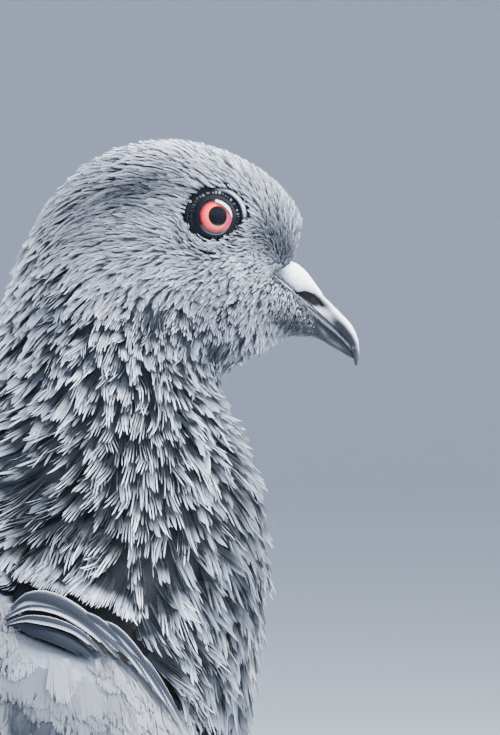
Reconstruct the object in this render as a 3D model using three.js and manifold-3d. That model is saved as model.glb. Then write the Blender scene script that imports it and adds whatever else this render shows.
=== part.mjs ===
// A feral pigeon standing alert with its bill lowered, as a life-size still model.
// Units are millimetres: +X points the way the bird faces, +Y to its left and +Z up.
// The floor is Z = 0, and the origin lies on it below the middle of the bird's whole reach.
//
// Flesh and folded plumage are lofts. A station of a loft gives the two edges of a section as
// [x, z], seen from the side, its half thickness, and how far out each edge lies if not at 0.
import * as THREE from "three";
import { mergeVertices } from "three/addons/utils/BufferGeometryUtils.js";
import Module from "manifold-3d";

const wasm = await Module();
wasm.setup();

// ---------- driving dimensions ----------

const GAP = 0.3; // clearance between neighbouring pieces
const ACROSS = new THREE.Vector3(0, 1, 0);

// The body from the feather edge at the bill back to the tail coverts: [back], [belly], half width.
const BODY = [
  { name: "gape", back: [59.2, 214.2], belly: [63.9, 201.9], half: 2.9 },
  { name: "forehead", back: [61.2, 217.4], belly: [60.0, 202.5], half: 6.0 },
  { name: "lore", back: [61.5, 221.1], belly: [56.6, 201.4], half: 8.9 },
  { name: "brow", back: [58.9, 225.6], belly: [53.6, 198.8], half: 11.1 },
  { name: "eye", back: [53.3, 230.1], belly: [51.0, 196.2], half: 12.3 },
  { name: "crown", back: [44.8, 233.4], belly: [49.2, 194.4], half: 13.0 },
  { name: "hind crown", back: [34.9, 233.3], belly: [48.8, 192.9], half: 13.5 },
  { name: "occiput", back: [25.8, 229.0], belly: [49.2, 190.9], half: 14.2 },
  { name: "nape", back: [19.4, 221.4], belly: [50.3, 188.4], half: 15.2 },
  { name: "upper neck", back: [15.5, 212.2], belly: [51.9, 185.3], half: 16.8 },
  { name: "middle neck", back: [12.3, 202.0], belly: [54.2, 181.0], half: 18.8 },
  { name: "lower neck", back: [8.3, 190.8], belly: [56.5, 174.5], half: 21.8 },
  { name: "neck base", back: [2.6, 179.5], belly: [57.7, 162.5], half: 26.0 },
  { name: "shoulder", back: [-4.8, 169.0], belly: [55.6, 146.5], half: 31.0 },
  { name: "upper breast", back: [-13.8, 159.2], belly: [50.2, 128.5], half: 35.2 },
  { name: "breast", back: [-24.2, 149.5], belly: [41.5, 110.0], half: 38.0 },
  { name: "keel", back: [-36.0, 139.5], belly: [29.5, 93.0], half: 39.0 },
  { name: "fore belly", back: [-48.5, 129.3], belly: [13.5, 77.0], half: 38.0 },
  { name: "belly", back: [-61.0, 119.0], belly: [-5.5, 64.5], half: 35.0 },
  { name: "flank", back: [-73.0, 109.0], belly: [-27.0, 56.5], half: 30.0 },
  { name: "vent", back: [-84.5, 99.6], belly: [-50.0, 54.5], half: 23.5 },
  { name: "rump", back: [-95.0, 91.2], belly: [-72.0, 57.5], half: 17.5 },
  { name: "tail root", back: [-105.5, 83.2], belly: [-91.0, 60.8], half: 14.5 },
  { name: "tail coverts", back: [-116.0, 75.8], belly: [-109.0, 60.6], half: 13.5 },
  { name: "covert tips", back: [-127.0, 69.0], belly: [-126.0, 59.5], half: 11.0 },
];
const NECK_TOP = 7.8; // stations counted from the gape, where head meets neck
const NECK_BOTTOM = 12.7; // and where neck meets trunk
const BODY_ROUNDNESS = 2.25; // superellipse power: 2 is an ellipse, more is boxier

// A folded wing from its bend to the tips of the inner flight feathers. It leans in over the back,
// so its upper edge, back, and its lower edge, belly, each say how far out they lie.
const WING = [
  { name: "bend", back: [47.0, 134.0], belly: [46.5, 128.0], out: [18.5, 19.0], half: 2.6 },
  { name: "wrist", back: [43.0, 141.5], belly: [43.6, 115.0], out: [24.0, 21.0], half: 7.0 },
  { name: "forearm", back: [33.0, 152.5], belly: [35.0, 100.5], out: [29.0, 26.0], half: 10.5 },
  { name: "elbow", back: [14.0, 161.5], belly: [20.5, 87.0], out: [27.5, 32.5], half: 14.0 },
  { name: "coverts", back: [-8.0, 154.5], belly: [1.0, 77.5], out: [21.0, 35.0], half: 17.0 },
  { name: "secondaries", back: [-31.0, 140.5], belly: [-21.0, 71.5], out: [13.0, 34.0], half: 18.0 },
  { name: "tertials", back: [-55.0, 125.5], belly: [-45.0, 69.0], out: [8.5, 31.0], half: 16.0 },
  { name: "over rump", back: [-78.0, 109.5], belly: [-69.0, 68.5], out: [6.5, 27.0], half: 12.0 },
  { name: "tertial tips", back: [-97.0, 95.5], belly: [-91.0, 70.5], out: [5.5, 22.0], half: 7.0 },
  { name: "wing end", back: [-112.0, 85.0], belly: [-109.0, 76.0], out: [8.0, 15.0], half: 2.0 },
];
// The long outer flight feathers that pass out from under it to the wing tip.
const PRIMARIES = [
  { name: "hidden", back: [-58.0, 96.0], belly: [-54.0, 74.0], out: [24.0, 31.0], half: 3.0 },
  { name: "covered", back: [-80.0, 90.0], belly: [-78.0, 67.0], out: [18.0, 28.0], half: 3.6 },
  { name: "bare", back: [-104.0, 82.5], belly: [-103.0, 66.5], out: [12.5, 21.5], half: 3.3 },
  { name: "taper", back: [-126.0, 75.0], belly: [-125.0, 65.5], out: [8.5, 16.0], half: 2.7 },
  { name: "near tip", back: [-145.0, 69.0], belly: [-144.0, 63.8], out: [6.5, 11.5], half: 1.9 },
  { name: "wing tip", back: [-160.0, 65.0], belly: [-160.0, 63.9], out: [6.5, 8.0], half: 0.6 },
];
const WING_ROUNDNESS = 2.1;

// The closed tail fan: [top], [underside], half width.
const TAIL = [
  { name: "inside the coverts", back: [-99.5, 78.6], belly: [-101.5, 73.4], half: 9.0 },
  { name: "root", back: [-117.0, 71.2], belly: [-118.8, 66.6], half: 14.5 },
  { name: "spreading", back: [-136.0, 63.0], belly: [-137.4, 59.4], half: 18.6 },
  { name: "middle", back: [-154.0, 55.4], belly: [-155.0, 52.8], half: 21.8 },
  { name: "dark band", back: [-170.0, 48.6], belly: [-170.7, 46.8], half: 23.6 },
  { name: "rounded corners", back: [-176.5, 45.9], belly: [-177.0, 44.6], half: 22.4 },
  { name: "end", back: [-179.0, 44.8], belly: [-179.3, 43.9], half: 18.5 },
];
const TAIL_ROUNDNESS = 2.8;
const TAIL_ARCH = 0.007; // how fast the fan's sides fall away, per millimetre squared

// The bill. The upper mandible hooks over the lower one, and the cere swells over its root.
const UPPER_BILL = [
  { name: "root", back: [59.9, 213.6], belly: [57.6, 212.2], half: 3.5 },
  { name: "under the cere", back: [62.1, 212.6], belly: [60.2, 209.85], half: 3.4 },
  { name: "nostril", back: [64.2, 210.4], belly: [62.7, 207.7], half: 3.0 },
  { name: "before the cere", back: [66.0, 208.5], belly: [64.7, 205.95], half: 2.5 },
  { name: "horn", back: [68.5, 206.0], belly: [66.9, 204.05], half: 2.1 },
  { name: "curve", back: [70.4, 203.9], belly: [68.7, 202.25], half: 1.7 },
  { name: "hook", back: [71.45, 201.3], belly: [70.1, 200.6], half: 1.25 },
  { name: "nail", back: [71.55, 199.2], belly: [70.8, 199.0], half: 0.8 },
  { name: "tip", back: [71.3, 197.3], belly: [71.1, 197.4], half: 0.25 },
];
const LOWER_BILL = [
  { name: "root", back: [63.6, 206.4], belly: [63.4, 202.1], half: 2.6 },
  { name: "horn", back: [65.2, 204.95], belly: [65.0, 201.6], half: 2.2 },
  { name: "keel", back: [66.9, 203.5], belly: [66.6, 200.7], half: 1.85 },
  { name: "taper", back: [68.7, 201.8], belly: [68.5, 199.65], half: 1.35 },
  { name: "tip", back: [70.15, 200.1], belly: [70.1, 198.9], half: 0.6 },
];
const CERE = [
  { name: "back edge", back: [58.5, 214.4], belly: [57.6, 212.8], half: 1.6 },
  { name: "swelling", back: [60.6, 214.45], belly: [59.0, 211.4], half: 3.5 },
  { name: "crest", back: [62.8, 213.0], belly: [60.9, 210.2], half: 4.0 },
  { name: "front", back: [64.5, 211.0], belly: [62.9, 209.7], half: 3.2 },
  { name: "front edge", back: [65.1, 209.7], belly: [64.4, 209.1], half: 1.4 },
];
const BILL_ROUNDNESS = 2.0;

const EYE = { at: [47.3, 220.5], radius: 5.4, out: 7.35 };

// Legs. The ankle is the backward joint above the bare shank, and the toes spread from the foot.
const LEG = {
  out: 18.5,
  hip: [-20.0, 73.0],
  hipRadius: 15.5,
  ankle: [-31.0, 35.5],
  ankleRadius: 4.0,
  shankRadius: 2.0,
  foot: [-17.0, 3.9],
  footRadius: 3.5,
};
const TOES = [
  { name: "inner", turn: 30, length: 21, radius: 1.95, pads: 2 },
  { name: "middle", turn: 3, length: 28, radius: 2.05, pads: 3 },
  { name: "outer", turn: -28, length: 22, radius: 1.9, pads: 3 },
  { name: "hind", turn: 172, length: 13.5, radius: 1.8, pads: 1 },
];
const CLAW = { length: 6.2, radius: 1.15 };

const FINISH = {
  headPlumage: { color: 0x8f97a6, roughness: 0.8, metalness: 0 },
  neckPlumage: { color: 0x9aa2b1, roughness: 0.75, metalness: 0 },
  bodyPlumage: { color: 0x8b93a2, roughness: 0.85, metalness: 0 },
  wingPlumage: { color: 0xb4bac8, roughness: 0.8, metalness: 0 },
  flightFeather: { color: 0x5b626f, roughness: 0.7, metalness: 0 },
  tailFeather: { color: 0x767d8b, roughness: 0.7, metalness: 0 },
  billHorn: { color: 0x4b525c, roughness: 0.4, metalness: 0 },
  cereSkin: { color: 0xe8e9f2, roughness: 0.9, metalness: 0 },
  eye: { color: 0xd05a50, roughness: 0.08, metalness: 0 },
  footSkin: { color: 0xa9565a, roughness: 0.55, metalness: 0 },
  claw: { color: 0x35383f, roughness: 0.4, metalness: 0 },
};

// ---------- shapes ----------

// A superellipse's share along one axis, from a cosine or a sine.
const share = (value, roundness) => Math.sign(value) * Math.abs(value) ** (2 / roundness);

// One closed skin through rings of points that all have the same count, with a fan at each end.
function closedSkin(rings) {
  const count = rings[0].length;
  const points = rings.flat();
  const middle = (ring) =>
    ring.reduce((sum, p) => sum.add(p), new THREE.Vector3()).divideScalar(count);
  const start = points.push(middle(rings[0])) - 1;
  const end = points.push(middle(rings.at(-1))) - 1;
  const faces = [];
  for (let i = 0; i + 1 < rings.length; i++)
    for (let j = 0; j < count; j++) {
      const [a, b] = [i * count + j, i * count + ((j + 1) % count)];
      faces.push(a, b, a + count, b, b + count, a + count);
    }
  const last = (rings.length - 1) * count;
  for (let j = 0; j < count; j++) {
    const next = (j + 1) % count;
    faces.push(start, next, j, end, last + j, last + next);
  }
  return new THREE.BufferGeometry().setFromPoints(points).setIndex(faces);
}

// A manifold solid from a geometry, turned to face outwards.
function solid(geometry) {
  const bare = geometry.clone();
  for (const name of Object.keys(bare.attributes))
    if (name !== "position") bare.deleteAttribute(name);
  const merged = mergeVertices(bare, 1e-4);
  const build = (triVerts) =>
    new wasm.Manifold(
      new wasm.Mesh({
        numProp: 3,
        vertProperties: merged.attributes.position.array,
        triVerts,
      }),
    );
  const triangles = new Uint32Array(merged.index.array);
  const made = build(triangles);
  return made.volume() > 0 ? made : build(triangles.reverse());
}

// The largest body of a solid, as a geometry with flat faces.
function geometryOf(made) {
  const bodies = made.decompose().sort((a, b) => b.volume() - a.volume());
  const { vertProperties, triVerts, numProp } = bodies[0].getMesh();
  const indexed = new THREE.BufferGeometry()
    .setAttribute("position", new THREE.BufferAttribute(vertProperties, numProp))
    .setIndex(new THREE.BufferAttribute(triVerts, 1));
  const flat = indexed.toNonIndexed();
  flat.computeVertexNormals();
  return flat;
}

// A skin over stations, smooth from one to the next.
class Loft {
  constructor(stations, roundness) {
    const smooth = (pick) =>
      new THREE.CatmullRomCurve3(stations.map(pick), false, "catmullrom", 0.5);
    const edge = ([x, z], out = 0) => new THREE.Vector3(x, out, z);
    this.back = smooth((s) => edge(s.back, s.out?.[0]));
    this.belly = smooth((s) => edge(s.belly, s.out?.[1]));
    this.half = smooth((s) => new THREE.Vector3(s.half, 0, 0));
    this.spans = stations.length - 1;
    this.roundness = roundness;
  }

  // The ring at a station number, grown outwards and moved along its own normal.
  ring(station, sides, grow = 0, shift = 0) {
    const t = station / this.spans;
    const [back, belly, half] = [this.back, this.belly, this.half].map((c) => c.getPoint(t));
    const middle = back.clone().add(belly).multiplyScalar(0.5);
    const up = back.clone().sub(belly).multiplyScalar(0.5);
    const height = up.length();
    up.normalize();
    const normal = up.clone().cross(ACROSS).normalize();
    const across = normal.clone().cross(up);
    middle.addScaledVector(normal, shift);
    return Array.from({ length: sides }, (_, i) => {
      const angle = (i / sides) * 2 * Math.PI;
      return middle
        .clone()
        .addScaledVector(up, (height + grow) * share(Math.cos(angle), this.roundness))
        .addScaledVector(across, (half.x + grow) * share(Math.sin(angle), this.roundness));
    });
  }

  // The closed skin from one station number to another. Its ends can be moved apart for a gap.
  skin({ from = 0, to = this.spans, steps, sides, grow = 0, startGap = 0, endGap = 0 }) {
    return closedSkin(
      Array.from({ length: steps + 1 }, (_, i) => {
        const shift = i === 0 ? startGap : i === steps ? -endGap : 0;
        return this.ring(from + ((to - from) * i) / steps, sides, grow, shift);
      }),
    );
  }
}

// A tube with its own radius at each step along a curve.
function tube(points, radiusAt, steps, sides) {
  const curve = new THREE.CatmullRomCurve3(points);
  const frames = curve.computeFrenetFrames(steps, false);
  return closedSkin(
    Array.from({ length: steps + 1 }, (_, i) => {
      const at = curve.getPointAt(i / steps);
      const radius = radiusAt(i / steps);
      return Array.from({ length: sides }, (_, j) => {
        const angle = ((j + 0.5) / sides) * 2 * Math.PI;
        return at
          .clone()
          .addScaledVector(frames.normals[i], radius * Math.cos(angle))
          .addScaledVector(frames.binormals[i], radius * Math.sin(angle));
      });
    }),
  );
}

// Presses whatever is below the floor up to it, which gives a sole its flat.
function pressToFloor(geometry) {
  const place = geometry.attributes.position;
  for (let i = 0; i < place.count; i++) place.setZ(i, Math.max(0, place.getZ(i)));
  return geometry;
}

// ---------- sub-parts ----------

const bird = new THREE.Group();

function add(name, geometry, finish) {
  const mesh = new THREE.Mesh(geometry, new THREE.MeshStandardMaterial(finish));
  mesh.name = name;
  bird.add(mesh);
  return mesh;
}

// Adds a piece of the right side and its mirror image on the left.
function addPair(name, geometry, finish) {
  add(`${name}_right`, geometry, finish);
  add(`${name}_left`, geometry, finish).scale.y = -1;
}

const body = new Loft(BODY, BODY_ROUNDNESS);
const HEAD_SPAN = { to: NECK_TOP, steps: 15, sides: 26 };
const NECK_SPAN = { from: NECK_TOP, to: NECK_BOTTOM, steps: 7, sides: 26 };
const TRUNK_SPAN = { from: NECK_BOTTOM, steps: 16, sides: 26 };
const headSolid = (more) => solid(body.skin({ ...HEAD_SPAN, ...more }));
const neckSolid = (more) => solid(body.skin({ ...NECK_SPAN, ...more }));
const trunkSolid = (more) => solid(body.skin({ ...TRUNK_SPAN, ...more }));
const bodyRoom = neckSolid({ grow: GAP }).add(trunkSolid({ grow: GAP }));

// The eyeball, deep in the head, with a shallow cap of it showing. Side -1 is the bird's right.
function eyeball(side, grow = 0) {
  const ball = new THREE.SphereGeometry(EYE.radius + grow, 14, 10);
  return solid(ball.translate(EYE.at[0], side * EYE.out, EYE.at[1]));
}

const upperBlank = new Loft(UPPER_BILL, BILL_ROUNDNESS);
const lowerBlank = new Loft(LOWER_BILL, BILL_ROUNDNESS);
const cereBlank = new Loft(CERE, BILL_ROUNDNESS);
const upperBill = (grow) => solid(upperBlank.skin({ steps: 12, sides: 10, grow }));
const lowerBill = (grow) => solid(lowerBlank.skin({ steps: 7, sides: 10, grow }));
const cere = (grow) => solid(cereBlank.skin({ steps: 8, sides: 12, grow }));

function addHeadAndBill() {
  const head = headSolid({ endGap: GAP / 2 });
  const bare = [eyeball(-1, GAP), eyeball(1, GAP), upperBill(GAP), lowerBill(GAP), cere(GAP)];
  add("head", geometryOf(bare.reduce((rest, cut) => rest.subtract(cut), head)), FINISH.headPlumage);
  add("eye_right", geometryOf(eyeball(-1)), FINISH.eye);
  add("eye_left", geometryOf(eyeball(1)), FINISH.eye);
  add("cere", geometryOf(cere(0)), FINISH.cereSkin);
  add("bill_upper", geometryOf(upperBill(0).subtract(cere(GAP))), FINISH.billHorn);
  add("bill_lower", geometryOf(lowerBill(0).subtract(upperBill(GAP))), FINISH.billHorn);
}

function addNeckAndTrunk() {
  const neck = neckSolid({ startGap: GAP / 2, endGap: GAP / 2 });
  add("neck", geometryOf(neck), FINISH.neckPlumage);
  add("trunk", geometryOf(trunkSolid({ startGap: GAP / 2 })), FINISH.bodyPlumage);
}

// The fan of tail feathers, arched so that its sides hang lower.
function tailFan(grow) {
  const fan = new Loft(TAIL, TAIL_ROUNDNESS).skin({ steps: 8, sides: 18, grow });
  const place = fan.attributes.position;
  for (let i = 0; i < place.count; i++)
    place.setZ(i, place.getZ(i) - TAIL_ARCH * place.getY(i) ** 2);
  return solid(fan);
}

const toRight = (geometry) => geometry.scale(1, -1, 1);
const wing = (grow) =>
  solid(toRight(new Loft(WING, WING_ROUNDNESS).skin({ steps: 14, sides: 18, grow })));
const primaries = (grow) =>
  solid(toRight(new Loft(PRIMARIES, WING_ROUNDNESS).skin({ steps: 7, sides: 10, grow })));

function addTailAndWings() {
  add("tail", geometryOf(tailFan(0).subtract(bodyRoom)), FINISH.tailFeather);
  addPair("wing", geometryOf(wing(0).subtract(bodyRoom).subtract(tailFan(GAP))), FINISH.wingPlumage);
  const tips = primaries(0).subtract(bodyRoom).subtract(tailFan(GAP)).subtract(wing(GAP));
  addPair("primaries", geometryOf(tips), FINISH.flightFeather);
}

const inLeg = ([x, z]) => new THREE.Vector3(x, -LEG.out, z);

function addLegs() {
  const [hip, ankle, foot] = [LEG.hip, LEG.ankle, LEG.foot].map(inLeg);
  const knee = hip.clone().lerp(ankle, 0.5);
  const thighRadius = (t) => THREE.MathUtils.lerp(LEG.hipRadius, LEG.ankleRadius, t ** 0.8);
  const thigh = solid(tube([hip, knee, ankle], thighRadius, 6, 12));
  const roof = bodyRoom.add(wing(GAP));
  addPair("thigh", geometryOf(thigh.subtract(roof)), FINISH.bodyPlumage);

  const down = foot.clone().sub(ankle).normalize();
  const shankTop = ankle.clone().addScaledVector(down, GAP);
  const knuckle = (t) => 0.7 * Math.max(0, 1 - t / 0.18) + 0.35 * Math.max(0, (t - 0.85) / 0.15);
  const shankRadius = (t) => LEG.shankRadius + knuckle(t);
  const pad = (grow) =>
    solid(
      pressToFloor(
        new THREE.SphereGeometry(LEG.footRadius + grow, 10, 6)
          .rotateX(Math.PI / 2)
          .scale(1, 1, 1.3)
          .translate(foot.x, foot.y, foot.z),
      ),
    );
  const shank = solid(tube([shankTop, shankTop.clone().lerp(foot, 0.5), foot], shankRadius, 6, 8));
  addPair("shank", geometryOf(shank.subtract(pad(GAP)).subtract(thigh)), FINISH.footSkin);
  addPair("foot", geometryOf(pad(0)), FINISH.footSkin);
  addToes(foot, pad(GAP));
}

// Toes spread from the foot on the floor, each ending in a curved claw.
function addToes(foot, padRoom) {
  let taken = padRoom;
  for (const toe of TOES) {
    const turn = THREE.MathUtils.degToRad(toe.turn);
    const away = new THREE.Vector3(Math.cos(turn), Math.sin(turn), 0);
    const at = (distance, height) =>
      new THREE.Vector3(foot.x, foot.y, height).addScaledVector(away, distance);
    const radiusAt = (t) =>
      toe.radius * (1 - 0.22 * t) * (1 + 0.07 * Math.cos(2 * Math.PI * toe.pads * t));
    const low = toe.radius * 0.8;
    const path = [at(1, low + 1.2), at(toe.length * 0.4, low + 0.3), at(toe.length, low - 0.2)];
    const blank = (grow) =>
      solid(pressToFloor(tube(path, (t) => radiusAt(t) + grow, 5, 8)));
    addPair(`toe_${toe.name}`, geometryOf(blank(0).subtract(taken)), FINISH.footSkin);
    taken = taken.add(blank(GAP));
    const hook = [
      at(toe.length + GAP, low + 0.1),
      at(toe.length + CLAW.length * 0.5, low + 0.25),
      at(toe.length + CLAW.length * 0.92, CLAW.radius * 0.45),
    ];
    const claw = pressToFloor(tube(hook, (t) => CLAW.radius * (1 - 0.86 * t), 4, 6));
    addPair(`claw_${toe.name}`, geometryOf(solid(claw)), FINISH.claw);
  }
}

addHeadAndBill();
addNeckAndTrunk();
addTailAndWings();
addLegs();

// The origin goes below the middle of the whole reach, from bill tip to tail end.
const reach = new THREE.Box3().setFromObject(bird);
bird.position.x = -(reach.min.x + reach.max.x) / 2;

const pigeon = new THREE.Group();
pigeon.name = "pigeon";
pigeon.add(bird);

export default pigeon;
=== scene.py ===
"""A feral pigeon at life size, standing with ruffled neck and lowered bill.

One skin lies under a full coat of modelled feathers. The eyes, lids, cere, bill, bare legs and
claws are pieces of their own. Sizes are metres, and listed places are millimetres from the
centre of the eyeball in the bird's long plane, forward and up, so they move with the frame.
"""

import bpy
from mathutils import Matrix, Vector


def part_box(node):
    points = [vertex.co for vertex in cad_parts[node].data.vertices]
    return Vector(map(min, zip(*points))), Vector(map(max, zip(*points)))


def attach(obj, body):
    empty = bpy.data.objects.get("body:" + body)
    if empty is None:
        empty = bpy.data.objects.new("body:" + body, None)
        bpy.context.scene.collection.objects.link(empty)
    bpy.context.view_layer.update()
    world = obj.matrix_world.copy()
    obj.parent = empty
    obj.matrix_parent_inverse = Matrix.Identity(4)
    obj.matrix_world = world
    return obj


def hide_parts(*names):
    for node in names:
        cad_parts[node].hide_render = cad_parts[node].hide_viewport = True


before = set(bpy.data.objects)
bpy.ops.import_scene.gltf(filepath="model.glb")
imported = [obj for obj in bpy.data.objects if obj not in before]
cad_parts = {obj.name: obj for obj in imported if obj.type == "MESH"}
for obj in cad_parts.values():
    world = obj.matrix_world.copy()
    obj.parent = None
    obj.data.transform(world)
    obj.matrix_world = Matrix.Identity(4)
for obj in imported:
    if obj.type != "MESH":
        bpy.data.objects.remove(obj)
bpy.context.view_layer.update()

import logging
import math
from collections.abc import Callable, Sequence
from dataclasses import dataclass, field
from enum import Enum

import bmesh
import bpy
import numpy as np
from mathutils import Matrix, Vector
from mathutils.bvhtree import BVHTree
from mathutils.kdtree import KDTree

LOG = logging.getLogger("pigeon")
MM = 0.001
SEED = 20
BODY = "root"
SIDES = {"right": -1.0, "left": 1.0}

Array = np.ndarray
Piece = bpy.types.Object
Socket = bpy.types.NodeSocket
Tree = bpy.types.NodeTree


# ---------------------------------------------------------------- places in the frame


def middle_of(node: str) -> Vector:
    """The centre of a CAD node's box."""
    low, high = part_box(node)
    return (low + high) / 2


EYE = middle_of("eye_right")
EYE_RADIUS = (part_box("eye_right")[1].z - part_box("eye_right")[0].z) / 2


def from_eye(points: Array) -> Array:
    """Gives points in the side plane in millimetres from the eye.

    Args:
        points: places in the frame, one row each.

    Returns:
        How far forward and how far up each one is, one row each.
    """
    return (points[:, [0, 2]] - np.array([EYE.x, EYE.z])) / MM


def at_eye(forward: float, up: float, out: float = 0.0) -> Vector:
    """The place that far from the eye in the side plane and from the middle, in millimetres."""
    return Vector((EYE.x + forward * MM, out * MM, EYE.z + up * MM))


# ---------------------------------------------------------------- small tools


def unit(vectors: Array) -> Array:
    """The same vectors with length one."""
    return vectors / np.maximum(np.linalg.norm(vectors, axis=-1, keepdims=True), 1e-12)


def rise(value: Array, start: float, end: float) -> Array:
    """A smooth step from 0 at start to 1 at end, which may be below start."""
    share = np.clip((value - start) / (end - start), 0.0, 1.0)
    return share * share * (3.0 - 2.0 * share)


def deselect_all() -> None:
    """Leaves object mode with nothing selected."""
    if bpy.context.object and bpy.context.object.mode != "OBJECT":
        bpy.ops.object.mode_set(mode="OBJECT")
    bpy.ops.object.select_all(action="DESELECT")


def activate(piece: Piece) -> None:
    """Selects one piece alone and makes it the active one."""
    deselect_all()
    piece.select_set(True)
    bpy.context.view_layer.objects.active = piece


def apply_modifier(piece: Piece, kind: str, **settings: object) -> None:
    """Adds one modifier and applies it.

    Args:
        piece: the object to change.
        kind: the modifier's type.
        settings: its properties.
    """
    activate(piece)
    modifier = piece.modifiers.new(kind.title(), kind)
    for name, value in settings.items():
        setattr(modifier, name, value)
    bpy.ops.object.modifier_apply(modifier=modifier.name)


def coordinates(piece: Piece) -> Array:
    """The vertices of a mesh object, one row each."""
    place = np.empty(len(piece.data.vertices) * 3)
    piece.data.vertices.foreach_get("co", place)
    return place.reshape(-1, 3)


def move_vertices(piece: Piece, place: Array) -> None:
    """Puts the vertices of a mesh object at new places."""
    piece.data.vertices.foreach_set("co", place.ravel())
    piece.data.update()


def normals_of(piece: Piece) -> Array:
    """The vertex normals of a mesh object, one row each."""
    normal = np.empty(len(piece.data.vertices) * 3)
    piece.data.vertex_normals.foreach_get("vector", normal)
    return normal.reshape(-1, 3)


def edit_all(piece: Piece, operator: Callable, **settings: object) -> None:
    """Runs one edit-mode operator on the whole of a mesh object."""
    activate(piece)
    bpy.ops.object.mode_set(mode="EDIT")
    bpy.ops.mesh.select_all(action="SELECT")
    operator(**settings)
    bpy.ops.object.mode_set(mode="OBJECT")


def linked(name: str, data: bpy.types.ID) -> Piece:
    """Puts a new object with its data into the scene."""
    piece = bpy.data.objects.new(name, data)
    bpy.context.scene.collection.objects.link(piece)
    return piece


def joined(parts: Sequence[Piece]) -> Piece:
    """Joins mesh objects into the first of them."""
    deselect_all()
    for part in parts:
        part.select_set(True)
    bpy.context.view_layer.objects.active = parts[0]
    bpy.ops.object.join()
    return parts[0]


def joined_copy(name: str, nodes: Sequence[str]) -> Piece:
    """Copies CAD nodes into one piece.

    Args:
        name: the new piece's name.
        nodes: the names of the nodes.

    Returns:
        The piece, with the loose triangles of each node merged and no material.
    """
    copies = [linked(name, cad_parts[node].data.copy()) for node in nodes]
    for copy in copies:
        copy.data.materials.clear()
        edit_all(copy, bpy.ops.mesh.remove_doubles, threshold=0.002 * MM)
    piece = joined(copies)
    piece.name = piece.data.name = name
    return piece


def melt(piece: Piece, closing: float, voxel: float, rounds: int) -> None:
    """Turns overlapping parts into one smooth, closed surface of the same size.

    Args:
        piece: the parts, already in one object.
        closing: how far they are grown, and shrunk again after, so that thin gaps close.
        voxel: the size of the new faces.
        rounds: how often the result is smoothed.
    """
    apply_modifier(piece, "DISPLACE", strength=closing, mid_level=0.0)
    apply_modifier(piece, "REMESH", mode="VOXEL", voxel_size=voxel)
    apply_modifier(piece, "DISPLACE", strength=-closing, mid_level=0.0)
    apply_modifier(piece, "SMOOTH", factor=0.5, iterations=rounds)
    bpy.ops.object.shade_smooth()


def surface_tree(piece: Piece) -> BVHTree:
    """A search tree over the faces of a mesh object."""
    corners = [tuple(polygon.vertices) for polygon in piece.data.polygons]
    return BVHTree.FromPolygons(coordinates(piece).tolist(), corners)


def node_surface(nodes: Sequence[str]) -> BVHTree:
    """A search tree over the faces of CAD nodes."""
    copy = joined_copy("Near", nodes)
    tree = surface_tree(copy)
    bpy.data.objects.remove(copy)
    return tree


def point_tree(points: Array) -> KDTree:
    """A search tree over points."""
    tree = KDTree(len(points))
    for i, point in enumerate(points):
        tree.insert(point, i)
    tree.balance()
    return tree


def sweep(name: str, rings: Sequence[Array]) -> Piece:
    """Extrudes a filled circle from ring to ring and moves each new ring to its place.

    Args:
        name: the new piece's name.
        rings: rings of points, all of one count, from one closed end to the other.

    Returns:
        The closed piece, facing outwards.
    """
    deselect_all()
    bpy.ops.mesh.primitive_circle_add(vertices=len(rings[0]), radius=MM, fill_type="NGON")
    piece = bpy.context.object
    piece.name = piece.data.name = name
    bpy.ops.object.mode_set(mode="EDIT")
    edit = bmesh.from_edit_mesh(piece.data)
    edit.verts.ensure_lookup_table()
    ring = list(edit.verts)
    for vertex, place in zip(ring, rings[0]):
        vertex.co = place
    for places in rings[1:]:
        bpy.ops.mesh.extrude_region_move()
        edit = bmesh.from_edit_mesh(piece.data)
        new = []
        for vertex in ring:
            ends = [edge.other_vert(vertex) for edge in vertex.link_edges]
            new.append(next(end for end in ends if end.select))
        ring = new
        for vertex, place in zip(ring, places):
            vertex.co = place
    bpy.ops.mesh.select_all(action="SELECT")
    bpy.ops.mesh.normals_make_consistent(inside=False)
    bpy.ops.object.mode_set(mode="OBJECT")
    bpy.ops.object.shade_smooth()
    return piece


def curve_through(points: Array, count: int) -> Array:
    """A smooth curve through points, given at even steps of the point number.

    Args:
        points: the values to pass through, one row each.
        count: how many rows to give back.

    Returns:
        The curve's values, one row each.
    """
    padded = np.vstack([2 * points[0] - points[1], points, 2 * points[-1] - points[-2]])
    place = np.linspace(0, len(points) - 1, count)
    first = np.minimum(place.astype(int), len(points) - 2)
    t = (place - first)[:, None]
    p0, p1, p2, p3 = (padded[first + step] for step in range(4))
    return 0.5 * (
        2 * p1 + (p2 - p0) * t + (2 * p0 - 5 * p1 + 4 * p2 - p3) * t**2
        + (3 * p1 - p0 - 3 * p2 + p3) * t**3
    )


# ---------------------------------------------------------------- finishes


def linear(colour: str) -> tuple[float, float, float, float]:
    """Turns an sRGB hex colour, such as #8f97a6, into linear red, green, blue and alpha."""
    parts = [int(colour[i : i + 2], 16) / 255 for i in (1, 3, 5)]
    red, green, blue = (c / 12.92 if c <= 0.04045 else ((c + 0.055) / 1.055) ** 2.4 for c in parts)
    return red, green, blue, 1.0


def add_node(
    tree: Tree, kind: str, inputs: dict | None = None, **settings: object
) -> bpy.types.Node:
    """Adds a shader node.

    Args:
        tree: the node tree.
        kind: the node's type without its ShaderNode prefix.
        inputs: a value or another node's output for each named or numbered input.
        settings: the node's own properties.

    Returns:
        The new node.
    """
    node = tree.nodes.new("ShaderNode" + kind)
    for name, value in settings.items():
        setattr(node, name, value)
    for name, value in (inputs or {}).items():
        if isinstance(value, Socket):
            tree.links.new(value, node.inputs[name])
        else:
            node.inputs[name].default_value = value
    return node


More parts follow.
